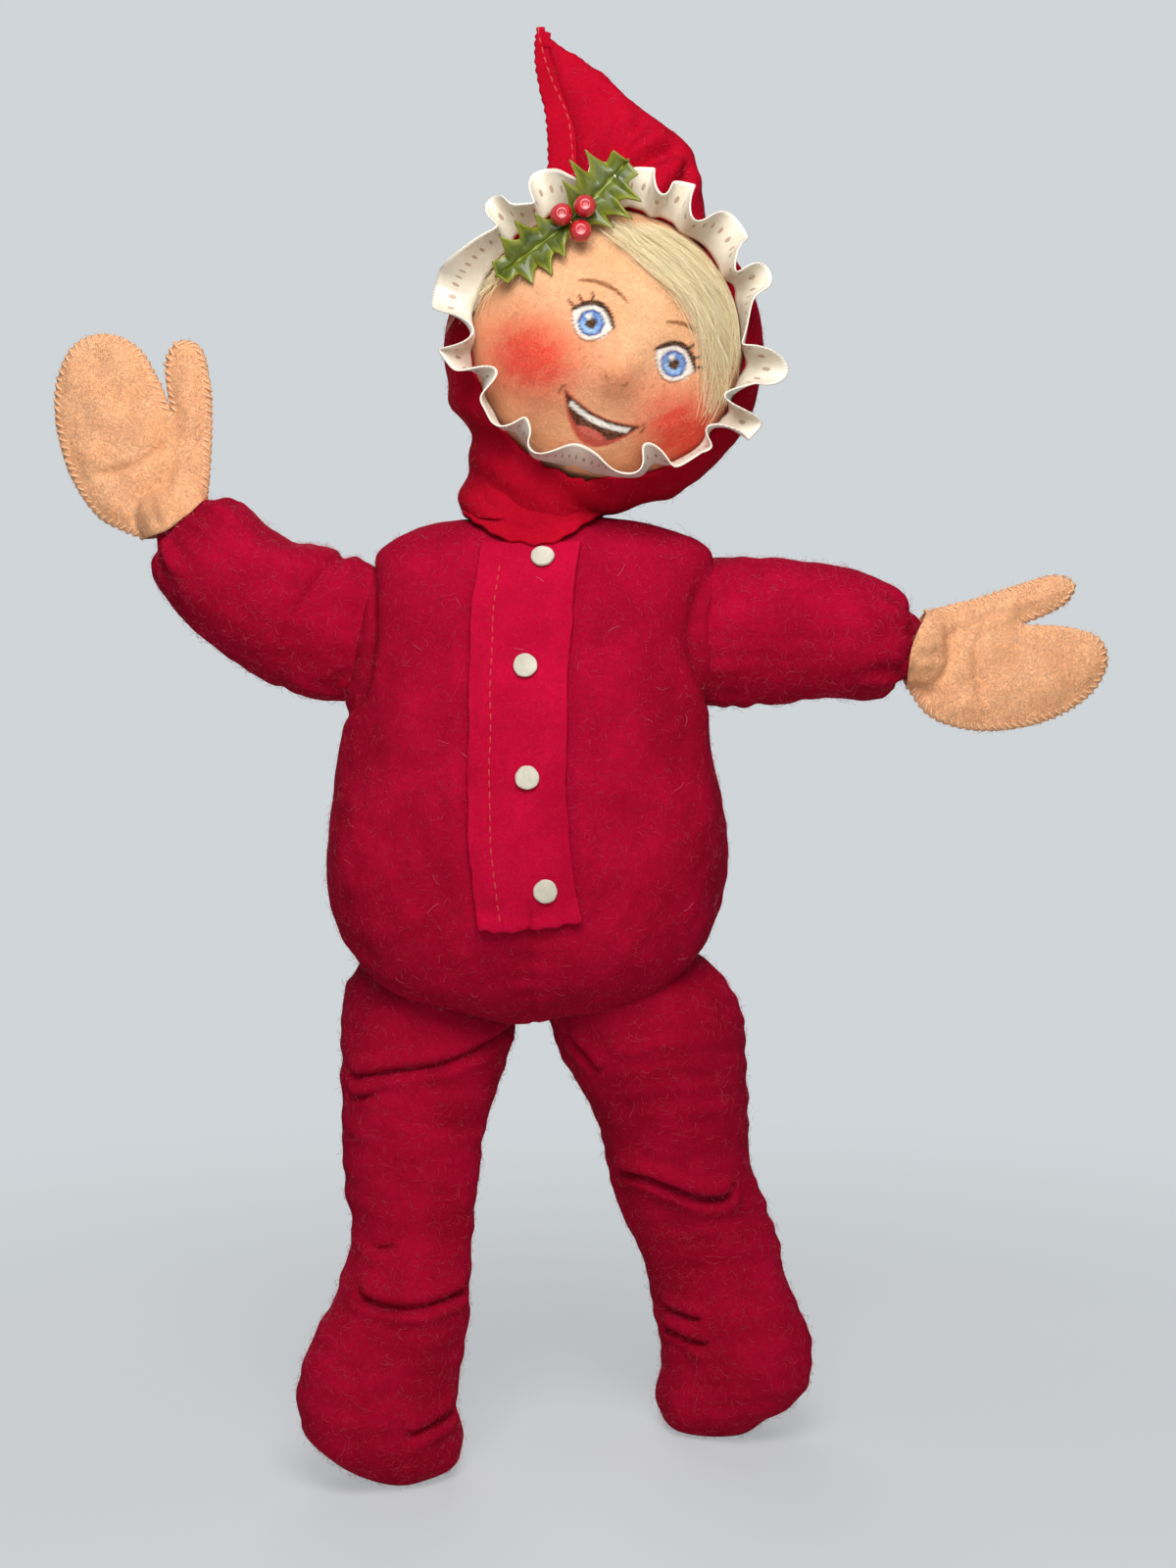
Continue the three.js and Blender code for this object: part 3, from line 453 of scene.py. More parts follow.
threadLooks = {
    "redThread": ("red_thread", (0.58, 0.026, 0.016), 0.6),
    "peachThread": ("peach_thread", (0.94, 0.54, 0.29), 0.6),
    "redLint": ("red_lint", (0.58, 0.012, 0.050), 0.8),
    "paleLint": ("pale_lint", (0.62, 0.22, 0.22), 0.8),
    "peachLint": ("peach_lint", (0.88, 0.56, 0.34), 0.8),
}
finishes.update({key: threadFinish(*look) for key, look in threadLooks.items()})


ribbonLook = {
    "deep": (0.62, 0.54, 0.42), "color": (0.74, 0.68, 0.56), "edge": (0.82, 0.77, 0.67),
    "hole": (0.36, 0.22, 0.15), "rib": 0.75,
    # distance between eyelets and half their length in mm, then their row and height as shares of the width
    "eyelets": 4.6, "eyelet": 0.7, "eyeletRow": 0.55, "eyeletTall": 11.0,
}


def ribbonFinish():
    # satin with fine ribs across it and a row of eyelets, read from its own map:
    # u along it in mm, v across it
    look = ribbonLook
    material, tree, shader = newFinish("ivory_ribbon")
    flat = put(tree, "ShaderNodeUVMap", uv_map="ribbon").outputs["UV"]
    parts = put(tree, "ShaderNodeSeparateXYZ", {"Vector": flat})
    along, across = parts.outputs["X"], parts.outputs["Y"]
    ribs = calc(tree, "SINE", calc(tree, "MULTIPLY", along, 2 * math.pi / look["rib"]))
    where = put(tree, "ShaderNodeTexCoord").outputs["Object"]
    cloud = grain(tree, where, 7, 2.0)
    base = blendColor(tree, span(tree, cloud, 0.3, 0.7), rgb(look["deep"]), rgb(look["color"]))
    edge = span(tree, across, 0.86, 0.94)
    shine = calc(tree, "MULTIPLY", edge, span(tree, ribs, -0.2, 0.6))
    base = blendColor(tree, shine, base, rgb(look["edge"]))
    step = calc(tree, "SUBTRACT", calc(tree, "FRACT", calc(tree, "DIVIDE", along, look["eyelets"])), 0.5)
    holeX = square(tree, calc(tree, "MULTIPLY", step, look["eyelets"] / look["eyelet"]))
    rise = calc(tree, "SUBTRACT", across, look["eyeletRow"])
    holeY = square(tree, calc(tree, "MULTIPLY", rise, look["eyeletTall"]))
    eyelet = span(tree, calc(tree, "ADD", holeX, holeY), 0.7, 1.2, 0.85, 0.0)
    base = blendColor(tree, eyelet, base, rgb(look["hole"]))
    height = calc(tree, "SUBTRACT", calc(tree, "ADD", calc(tree, "MULTIPLY", ribs, 0.25), edge), eyelet)
    addBump(tree, shader, height, 0.4, 0.3)
    rough = span(tree, cloud, 0.3, 0.7, 0.36, 0.5)
    feed(tree, shader, {"Base Color": base, "Roughness": rough, "Sheen Weight": 0.2})
    return material


finishes["ribbon"] = ribbonFinish()


def hairFinish():
    material, tree, shader = newFinish("pale_mohair")
    tone = put(tree, "ShaderNodeAttribute", attribute_name="tone").outputs["Fac"]
    color = blendColor(tree, tone, rgb((0.86, 0.66, 0.33)), rgb((1.0, 0.93, 0.66)))
    feed(tree, shader, {"Base Color": color, "Roughness": 0.42, "Sheen Weight": 0.15})
    return material


finishes["hair"] = hairFinish()


leafLook = {"deep": (0.034, 0.052, 0.002), "color": (0.105, 0.125, 0.006), "edge": (0.27, 0.28, 0.014),
            "rib": (0.24, 0.27, 0.03), "gloss": (0.2, 0.38), "specular": 0.32, "coat": 0.12}


def leafFinish():
    # moulded plastic, paler along the rib and yellower towards the spines; u across and v along the leaf
    look = leafLook
    material, tree, shader = newFinish("holly_leaf")
    flat = put(tree, "ShaderNodeUVMap", uv_map="leaf").outputs["UV"]
    parts = put(tree, "ShaderNodeSeparateXYZ", {"Vector": flat})
    out = calc(tree, "ABSOLUTE", parts.outputs["X"])
    where = put(tree, "ShaderNodeTexCoord").outputs["Object"]
    cloud = grain(tree, where, 5, 3.0)
    color = blendColor(tree, span(tree, cloud, 0.3, 0.7), rgb(look["deep"]), rgb(look["color"]))
    color = blendColor(tree, span(tree, out, 0.55, 1.05, 0.0, 0.65), color, rgb(look["edge"]))
    color = blendColor(tree, span(tree, out, 0.0, 0.09, 0.75, 0.0), color, rgb(look["rib"]))
    addBump(tree, shader, cloud, 0.25, 0.4)
    rough = span(tree, cloud, 0.3, 0.7, *look["gloss"])
    feed(tree, shader, {"Base Color": color, "Roughness": rough, "Specular IOR Level": look["specular"],
                        "Coat Weight": look["coat"]})
    return material


finishes["leaf"] = leafFinish()


def glossFinish(name, look, sockets):
    material, tree, shader = newFinish(name)
    where = put(tree, "ShaderNodeTexCoord").outputs["Object"]
    share = span(tree, grain(tree, where, look["patch"], 3.0), 0.3, 0.7)
    rough = span(tree, share, 0.0, 1.0, *look["gloss"])
    color = blendColor(tree, share, rgb(look["deep"]), rgb(look["color"]))
    feed(tree, shader, {"Base Color": color, "Roughness": rough, **sockets})
    return material


berryLook = {"color": (0.50, 0.010, 0.016), "deep": (0.34, 0.004, 0.010), "patch": 3, "gloss": (0.16, 0.3)}
stemLook = {"color": (0.10, 0.14, 0.02), "deep": (0.05, 0.07, 0.01), "patch": 2, "gloss": (0.5, 0.7)}
steelLook = {"color": (0.55, 0.56, 0.58), "deep": (0.40, 0.41, 0.43), "patch": 4, "gloss": (0.3, 0.45)}
finishes["berry"] = glossFinish("berry", berryLook, {"Coat Weight": 0.4})
finishes["stem"] = glossFinish("stem_wrap", stemLook, {})
finishes["steel"] = glossFinish("steel_wire", steelLook, {"Metallic": 1.0})
print("finishes made:", len(finishes))


# geometry nodes that lay thread, lint and hair

def newTree(name, inputs):
    tree = bpy.data.node_groups.new(name, "GeometryNodeTree")
    tree.interface.new_socket("Geometry", in_out="INPUT", socket_type="NodeSocketGeometry")
    for label, kind, value in inputs:
        socket = tree.interface.new_socket(label, in_out="INPUT", socket_type="NodeSocket" + kind)
        if value is not None:
            socket.default_value = value
    tree.interface.new_socket("Geometry", in_out="OUTPUT", socket_type="NodeSocketGeometry")
    source = tree.nodes.new("NodeGroupInput").outputs
    sink = tree.nodes.new("NodeGroupOutput").inputs
    return tree, source, sink


def endTree(tree, source, sink, shape):
    real = put(tree, "GeometryNodeRealizeInstances", {"Geometry": shape})
    smooth = put(tree, "GeometryNodeSetShadeSmooth", {"Geometry": real.outputs[0]})
    inputs = {"Geometry": smooth.outputs[0], "Material": source["Material"]}
    dressed = put(tree, "GeometryNodeSetMaterial", inputs)
    tree.links.new(dressed.outputs[0], sink["Geometry"])
    return tree


def fibreOf(tree, curve, radius, sides):
    # a thread of a given radius round a curve
    ring = put(tree, "GeometryNodeCurvePrimitiveCircle", {"Resolution": sides, "Radius": radius})
    inputs = {"Curve": curve, "Profile Curve": ring.outputs[0], "Fill Caps": True}
    return put(tree, "GeometryNodeCurveToMesh", inputs).outputs[0]


def arch(tree, steps, start, middle, end):
    inputs = {"Resolution": steps, "Start": start, "Middle": middle, "End": end}
    return put(tree, "GeometryNodeCurveQuadraticBezier", inputs).outputs[0]


def turnBy(tree, rotation, by):
    inputs = {"Rotation": rotation, "Rotate By": by}
    return put(tree, "FunctionNodeRotateRotation", inputs, rotation_space="LOCAL").outputs[0]


def stitchTree():
    # one thread loop at each step of a line, lying along "way" and standing up along "up"
    tree, source, sink = newTree("stitches", [
        ("Pitch", "Float", 3 * mm), ("Length", "Float", 2 * mm), ("Thread", "Float", 0.3 * mm),
        ("Rise", "Float", 0.3 * mm), ("Loose", "Float", 0.15), ("Seed", "Int", 1),
        ("Material", "Material", None)])
    line = put(tree, "GeometryNodeMeshToCurve", {"Mesh": source["Geometry"]}).outputs[0]
    even = put(tree, "GeometryNodeResampleCurve", {"Curve": line, "Length": source["Pitch"]}, mode="LENGTH")
    spots = put(tree, "GeometryNodeCurveToPoints", {"Curve": even.outputs[0]}, mode="EVALUATED")
    way = put(tree, "GeometryNodeInputNamedAttribute", {"Name": "way"}, data_type="FLOAT_VECTOR").outputs[0]
    up = put(tree, "GeometryNodeInputNamedAttribute", {"Name": "up"}, data_type="FLOAT_VECTOR").outputs[0]
    turn = put(tree, "FunctionNodeAxesToRotation", {"Primary Axis": up, "Secondary Axis": way},
               primary_axis="Z", secondary_axis="X")
    least = vector(tree, Z=calc(tree, "MULTIPLY", source["Loose"], -1.0))
    inputs = {0: least, 1: vector(tree, Z=source["Loose"]), "Seed": source["Seed"]}
    wobble = put(tree, "FunctionNodeRandomValue", inputs, data_type="FLOAT_VECTOR").outputs[0]
    half = calc(tree, "MULTIPLY", source["Length"], 0.5)
    buried = calc(tree, "MULTIPLY", source["Thread"], -1.0)
    start = vector(tree, X=calc(tree, "MULTIPLY", half, -1.0), Z=buried)
    middle = vector(tree, Z=calc(tree, "MULTIPLY", source["Rise"], 2.0))
    loop = arch(tree, 6, start, middle, vector(tree, X=half, Z=buried))
    laid = put(tree, "GeometryNodeInstanceOnPoints", {
        "Points": spots.outputs[0], "Instance": fibreOf(tree, loop, source["Thread"], 6),
        "Rotation": turnBy(tree, turn.outputs[0], wobble)}).outputs[0]
    return endTree(tree, source, sink, laid)


def lintTree():
    # loose fibres that stand and curl away from the cloth
    tree, source, sink = newTree("lint", [
        ("Density", "Float", 1000.0), ("Length", "Float", 2.5 * mm), ("Thread", "Float", 0.05 * mm),
        ("Seed", "Int", 1), ("Material", "Material", None)])
    inputs = {"Mesh": source["Geometry"], "Density": source["Density"], "Seed": source["Seed"]}
    spots = put(tree, "GeometryNodeDistributePointsOnFaces", inputs, distribute_method="RANDOM")
    parts = {share: calc(tree, "MULTIPLY", source["Length"], share) for share in (0.25, 0.35, 0.5)}
    end = vector(tree, X=source["Length"], Z=parts[0.25])
    curl = arch(tree, 3, (0, 0, 0), vector(tree, X=parts[0.35], Z=parts[0.5]), end)
    inputs = {0: (-0.5, -0.5, -math.pi), 1: (0.5, 0.5, math.pi), "Seed": source["Seed"]}
    spin = put(tree, "FunctionNodeRandomValue", inputs, data_type="FLOAT_VECTOR").outputs[0]
    inputs = {2: 0.4, 3: 1.5, "Seed": source["Seed"]}
    size = put(tree, "FunctionNodeRandomValue", inputs, data_type="FLOAT").outputs[1]
    laid = put(tree, "GeometryNodeInstanceOnPoints", {
        "Points": spots.outputs[0], "Instance": fibreOf(tree, curl, source["Thread"], 3),
        "Rotation": turnBy(tree, spots.outputs["Rotation"], spin), "Scale": size}).outputs[0]
    return endTree(tree, source, sink, laid)


def strandTree():
    # each guide becomes a lock of fine strands that part a little towards their ends
    tree, source, sink = newTree("strands", [
        ("Copies", "Int", 24), ("Spread", "Float", 2 * mm), ("Strand", "Float", 0.1 * mm), ("Seed", "Int", 1),
        ("Material", "Material", None)])
    line = put(tree, "GeometryNodeMeshToCurve", {"Mesh": source["Geometry"]}).outputs[0]
    inputs = {"Geometry": line, "Amount": source["Copies"]}
    many = put(tree, "GeometryNodeDuplicateElements", inputs, domain="SPLINE").outputs[0]
    even = put(tree, "GeometryNodeResampleCurve", {"Curve": many, "Count": 14}, mode="COUNT")
    own = {"ID": put(tree, "GeometryNodeCurveOfPoint").outputs["Curve Index"], "Seed": source["Seed"]}
    inputs = {0: (-1, -1, -1), 1: (1, 1, 1), **own}
    stray = put(tree, "FunctionNodeRandomValue", inputs, data_type="FLOAT_VECTOR").outputs[0]
    along = put(tree, "GeometryNodeSplineParameter").outputs["Factor"]
    reach = calc(tree, "MULTIPLY", span(tree, along, 0.0, 1.0, 0.45, 1.0), source["Spread"])
    shift = put(tree, "ShaderNodeVectorMath", {0: stray, "Scale": reach}, operation="SCALE").outputs[0]
    moved = put(tree, "GeometryNodeSetPosition", {"Geometry": even.outputs[0], "Offset": shift})
    tone = put(tree, "FunctionNodeRandomValue", own, data_type="FLOAT").outputs[1]
    inputs = {"Geometry": moved.outputs[0], "Name": "tone", "Value": tone}
    kept = put(tree, "GeometryNodeStoreNamedAttribute", inputs, data_type="FLOAT", domain="POINT")
    strands = fibreOf(tree, kept.outputs[0], source["Strand"], 3)
    return endTree(tree, source, sink, strands)


trees = {"stitches": stitchTree(), "lint": lintTree(), "strands": strandTree()}


def grow(obj, tree, values):
    # runs a tree on an object and keeps the result as a plain mesh
    nodes = obj.modifiers.new(tree.name, "NODES")
    nodes.node_group = tree
    names = {s.name: s.identifier for s in tree.interface.items_tree if s.in_out == "INPUT"}
    for key, value in values.items():
        nodes[names[key]] = value
    obj.update_tag()
    return settle(obj)


def makeLine(name, points, ways, ups):
    # a polyline that carries the directions its stitches follow
    mesh = bpy.data.meshes.new(name)
    edges = [(i, i + 1) for i in range(len(points) - 1)]
    mesh.from_pydata((np.asarray(points) * mm).tolist(), edges, [])
    for key, rows in (("way", ways), ("up", ups)):
        layer = mesh.attributes.new(key, "FLOAT_VECTOR", "POINT")
        layer.data.foreach_set("vector", np.asarray(rows, np.float32).ravel())
    obj = bpy.data.objects.new(name, mesh)
    scene.collection.objects.link(obj)
    return obj


def sewAlong(name, points, ways, ups, sizes, thread, seed):
    obj = makeLine(name, points, ways, ups)
    values = {"Pitch": sizes["pitch"] * mm, "Length": sizes["length"] * mm, "Thread": sizes["thread"] * mm,
              "Rise": sizes["rise"] * mm, "Loose": sizes["loose"], "Seed": seed, "Material": finishes[thread]}
    return grow(obj, trees["stitches"], values)


def lintOn(source, name, count, length, material, seed, thread):
    # fibres from a copy of a piece's own skin, so that they start on it
    obj = bpy.data.objects.new(name, source.data.copy())
    scene.collection.objects.link(obj)
    area = sum(p.area for p in obj.data.polygons)
    values = {"Density": count / area, "Length": length * mm, "Thread": thread * mm, "Seed": seed,
              "Material": finishes[material]}
    fluff = grow(obj, trees["lint"], values)
    spots = readPoints(fluff)
    spots[:, 2] = np.maximum(spots[:, 2], 0.1)  # none goes through the floor
    writePoints(fluff, spots)
    return fluff


# sculpting on a finished skin, in millimetres

def pressFold(co, no, path, depth, width, lip, fade, lap=0.0):
    # a crease along a path, with the cloth rolled up beside it; the cloth above can hang over it
    gap, where, near, run = alongPath(co, path)
    ends = ease(where / fade) * ease((run - where) / fade)
    above = ease((co[:, 2] - near[:, 2]) / width)
    push = -depth * bell(gap, width) + lip * depth * bell(gap - 2.1 * width, 1.3 * width)
    co += no * (push * ends)[:, None]
    co[:, 2] -= lap * above * ends * bell(gap - 1.4 * width, 1.5 * width)


def sewSeam(co, no, path, depth, width, pucker, pitch, reach):
    # a stitched seam: a fine groove with the cloth drawn in between stitches on both sides
    gap, where, _, _ = alongPath(co, path)
    drawn = np.sin(2 * math.pi * where / pitch + 1.7 * np.sin(where / (2.3 * pitch)))
    co -= no * (depth * bell(gap, width) + pucker * drawn * bell(gap - width, reach))[:, None]


def moved(obj, co):
    # the new points are written, and the skin is read again
    writePoints(obj, co)
    return treeOf(obj), readNormals(obj)


def unevenFelt(co, no, d, seed, stretch=(1, 1, 1)):
    # soft lumps of the filling and small ripples of the cloth
    lumps = d["lumps"] * softNoise(co, d["lumpSize"], seed)
    ripples = d["ripples"] * softNoise(co * stretch, d["rippleSize"], seed + 1)
    co += no * (lumps + ripples)[:, None]


def foldFront(co, no, tree, d, folds, deep):
    # folds given by x and z of their course as seen from the front, their depth and width
    for path, depth, width in folds:
        course = onSkin(tree, spline([(x, deep, z) for x, z in path], 16), toBack)
        pressFold(co, no, course, depth, width, *d["foldEnds"])


def treeOf(obj):
    mesh = obj.data
    return BVHTree.FromPolygons([v.co / mm for v in mesh.vertices], [p.vertices[:] for p in mesh.polygons])


def onSkin(tree, points, way, lift=0.0):
    # points moved along a direction until they meet the skin
    way = Vector(way).normalized()
    out = []
    for p in points:
        hit, normal, _, _ = tree.ray_cast(Vector(p) - way * 300, way)
        if hit is not None:
            out.append(np.array(hit + normal * lift))
    return np.array(out)


def splitAt(obj, names, past):
    # the faces past a plane go to a second piece; both keep the shading of the whole and are closed inside
    mesh = obj.data
    co, no = readPoints(obj), readNormals(obj)
    faces = [p.vertices[:] for p in mesh.polygons]
    side = past(co)
    far = [side[list(f)].mean() > 0.5 for f in faces]
    pieces = []
    for name, wanted in zip(names, (False, True)):
        mine = [f for f, isFar in zip(faces, far) if isFar == wanted]
        used = sorted({i for f in mine for i in f})
        place = {v: i for i, v in enumerate(used)}
        mine = [tuple(place[i] for i in f) for f in mine]
        points, normals = co[used].tolist(), no[used].tolist()
        rim = rimOf(mine)
        middle = len(points)
        corners = sorted({a for e in rim for a in e})
        points.append(np.mean([points[i] for i in corners], axis=0).tolist())
        normals.append(np.mean([normals[i] for i in corners], axis=0).tolist())
        mine += [(b, a, middle) for a, b in rim]
        piece = makeObject(name, points, mine)
        piece.data.normals_split_custom_set_from_vertices([unit(np.array(n) + 1e-9) for n in normals])
        pieces.append(piece)
    bpy.data.objects.remove(obj)
    return pieces


# suit body

bodyX, bodyY, _ = (jointAt("right_shoulder") + jointAt("left_shoulder")) / 2
crotch = nodeBox("torso_skin")[0][2]

suitBody = {
    # height above the crotch, half width to the doll's right and left, depth to the front and back
    "stations": [
        (1, 4, 4, 4, 4), (2.5, 9, 9, 10, 10), (5, 19, 19, 19, 20), (10.5, 36, 36, 32, 33),
        (18.4, 53, 52, 43, 43), (32, 64.5, 63.5, 50.5, 48), (50, 70.5, 69, 54, 51),
        (67, 71, 70.5, 54.5, 50.5), (85, 67.5, 68.5, 52.5, 49), (102, 64, 64.5, 49.5, 47),
        (120, 62.5, 65, 46.5, 45), (137, 61.5, 68, 42, 42), (152, 60, 71, 37, 37.5),
        (164, 57, 70.5, 31.5, 32.5), (172, 50.5, 64, 26, 26.5), (176.5, 43, 54, 22, 22),
        (180, 30, 40, 15.5, 16), (182, 13, 17, 8, 8),
    ],
    "square": 2.55, "sides": 72, "rows": 70, "voxel": 4.4, "soften": 3,
    "filling": {"pressure": 3.0, "slack": 0.012, "cap": 2.2, "frames": 14},
    "lumps": 0.7, "lumpSize": 34, "ripples": 0.25, "rippleSize": 11,
    # where a limb is set in: radius for the arm and the leg, then depth and width of the groove
    "armhole": 26.5, "legHole": 30.5, "setIn": (2.0, 3.0),
    # stitched seams: depth, width, pucker, its pitch and reach
    "frontSeam": (1.4, 0.9, 0.3, 7, 5), "backSeam": (1.1, 1.2, 0.25, 9, 6), "sideSeam": (0.8, 1.2, 0.1, 9, 6),
    # folds on the front: x and z of their course, depth, width
    "folds": [([(41, 182), (26, 169), (7, 164), (-9, 161)], 1.2, 2.4),
              ([(-84, 186), (-70, 176), (-52, 169)], 1.0, 2.6)],
    # the lip beside a fold and the length of its ends; depth, width, lip and ends beside the strip
    "foldEnds": (0.5, 8), "stripSwell": (1.2, 2.6, 0.6, 10),
}


def bodyRings():
    rows = smoothRows(suitBody["stations"], suitBody["rows"])
    turn = fullTurn(suitBody["sides"])
    power = 2 / suitBody["square"]
    c, s = np.cos(turn), np.sin(turn)
    across, deep = np.sign(c) * np.abs(c) ** power, np.sign(s) * np.abs(s) ** power
    rings = []
    for rise, right, left, front, back in rows:
        x = bodyX + np.where(across < 0, right, left) * across
        y = bodyY + np.where(deep < 0, front, back) * deep
        rings.append(np.column_stack([x, y, np.full_like(x, crotch + rise)]))
    return rings


def tubeGap(co, root, along, radius):
    # distance from the tube in which a limb leaves the body
    run = (co - root) @ along
    off = np.linalg.norm(co - root - np.outer(run, along), axis=1)
    return np.abs(off - radius) + 60 * (run < -24)


def makeBody():
    d = suitBody
    obj = fuse("suit_body", [loft(bodyRings())], d["voxel"], d["soften"])

    def held(co):
        return ease((co[:, 2] - crotch - 172) / 8) + ease((crotch + 6 - co[:, 2]) / 6)

    stuff(obj, d["filling"], held)
    subdivide(obj, 2)
    co, no = readPoints(obj), readNormals(obj)
    unevenFelt(co, no, d, 3)
    tree, no = moved(obj, co)
    z = np.linspace(crotch + 3, crotch + 50, 24)
    front = onSkin(tree, [(bodyX + 2.2 + 0.4 * math.sin(h / 6), bodyY, h) for h in z], toBack)
    sewSeam(co, no, front, *d["frontSeam"])
    z = np.linspace(crotch + 3, crotch + 176, 60)
    back = onSkin(tree, [(bodyX + 0.6 * math.sin(h / 17), bodyY, h) for h in z], (0, -1, 0))
    sewSeam(co, no, back, *d["backSeam"])
    for share in (0, 1):
        # the body swells a little on both sides of the front strip
        rows = [placketEdges(v) for v in np.linspace(0.02, 0.94, 40)]
        edge = onSkin(tree, [(bodyX + row[share], bodyY, crotch + row[2]) for row in rows], toBack)
        pressFold(co, no, edge, *d["stripSwell"])
    for side, out in outWay.items():
        z = np.linspace(crotch + 14, crotch + 116, 40)
        flank = onSkin(tree, [(bodyX, bodyY + 2 + math.sin(h / 13), h) for h in z], (-out, 0, 0))
        sewSeam(co, no, flank, *d["sideSeam"])
        depth, width = d["setIn"]
        for line, hole in ((armLine(side), d["armhole"]), (legLine(side), d["legHole"])):
            gap = tubeGap(co, line[0], unit(line[1] - line[0]), hole)
            co -= no * (depth * bell(gap, width))[:, None]
    foldFront(co, no, tree, d, d["folds"], bodyY)
    writePoints(obj, co)
    return obj


# sleeves

sleeve = {
    # distance along the arm from the shoulder, half height, half depth
    "stations": [
        (-23, 8, 6), (-20, 15, 11), (-12, 22, 16), (-3, 25.5, 19.5), (8, 27.2, 22.5), (22, 26.2, 24.5),
        (38, 24, 24), (52, 22.3, 22.3), (58, 21, 21), (64, 18.2, 18.2), (67, 15.4, 15.4), (70, 12.6, 12.4),
        (73, 10.4, 10), (75, 8.5, 8), (77, 6, 6), (78.5, 3, 3),
    ],
    "sides": 40, "rows": 56, "voxel": 3.2, "soften": 2,
    "filling": {"pressure": 3.5, "slack": 0.03, "cap": 2.0, "frames": 14},
    "lumps": 0.5, "lumpSize": 24, "ripples": 0.22, "rippleSize": 9, "seeds": {"right": 11, "left": 17},
    # gathers at the wrist and pleats at the shoulder: height, then their place and width
    "gather": (1.0, 9, 7), "pleats": (0.5, 4, 7), "seam": (0.8, 1.1, 0.08, 8, 5),
    # folds round the sleeve: distance from the shoulder, depth, width
    "rings": {"right": [(12.5, 2.4, 2.6), (30, 0.7, 3.0)],
              "left": [(9, 0.9, 2.2), (18, 1.3, 3.2), (34, 0.6, 3.0)]},
}


def limbRings(line, stations, d):
    # rings square to a line through joints; stations are measured along it from its first joint,
    # and a fourth and fifth value shift a ring sideways and to the front
    line = np.asarray(line, float)
    start = line[0] - unit(line[1] - line[0]) * 40
    end = line[-1] + unit(line[-1] - line[-2]) * 60
    path = spline(np.vstack([start, line, end]), 400)
    run = runAlong(path)
    zero = run[np.argmin(np.linalg.norm(path - line[0], axis=1))]
    rings = []
    turn = fullTurn(d["sides"])
    stations = [(*s, *[0] * (5 - len(s))) for s in stations]
    for at, tall, deep, shift, ahead in smoothRows(stations, d["rows"]):
        p = np.array([np.interp(zero + at, run, path[:, k]) for k in range(3)])
        q = np.array([np.interp(zero + at + 1, run, path[:, k]) for k in range(3)])
        way = unit(q - p)
        side = unit(np.asarray(toBack) - way * np.dot(toBack, way))
        up = np.cross(way, side)
        p = p + shift * up - ahead * side
        rings.append(p + tall * np.outer(np.cos(turn), up) + deep * np.outer(np.sin(turn), side))
    return rings


def armLine(side):
    return [jointAt(side + "_shoulder"), jointAt(side + "_elbow"), jointAt(side + "_wrist")]


def makeSleeve(side):
    d = sleeve
    line = armLine(side)
    obj = fuse(side + "_sleeve", [loft(limbRings(line, d["stations"], d))], d["voxel"], d["soften"])
    root, tip = line[0], line[-1]
    way = unit(tip - line[1])
    arm = unit(line[1] - root)
    stuff(obj, d["filling"], lambda co: ease(((co - tip) @ way + 2) / 4) + ease((-5 - (co - root) @ arm) / 5))
    subdivide(obj, 2)
    co, no = readPoints(obj), readNormals(obj)
    seed = d["seeds"][side]
    unevenFelt(co, no, d, seed)
    # cloth drawn together at the wrist and where the sleeve is set in
    spread = np.arctan2((co - tip) @ np.array(toBack), (co - tip) @ np.cross(way, toBack))
    toTip = (co - tip) @ way
    waves = np.sin(9 * spread + seed) + 0.6 * np.sin(14 * spread + 2 * seed)
    rise, place, width = d["gather"]
    co += no * (rise * waves * bell(toTip + place, width) * ease((1 - toTip) / 6))[:, None]
    toRoot = (co - root) @ arm
    spread = np.arctan2((co - root)[:, 1], (co - root) @ np.cross(arm, toBack))
    rise, place, width = d["pleats"]
    co += no * (rise * np.sin(7 * spread + seed) * bell(toRoot - place, width))[:, None]
    for place, depth, width in d["rings"][side]:
        wander = toRoot - place - 1.5 * np.sin(spread * 2 + seed)
        co -= no * (depth * bell(wander, width) * (0.7 + 0.3 * np.sin(spread + seed)))[:, None]
    tree, no = moved(obj, co)
    under = [root + (tip - root) * t for t in np.linspace(0, 0.9, 40)]
    seam = onSkin(tree, under, (0, 0, 1))
    sewSeam(co, no, seam, *d["seam"])
    writePoints(obj, co)
    return obj


# legs with their feet

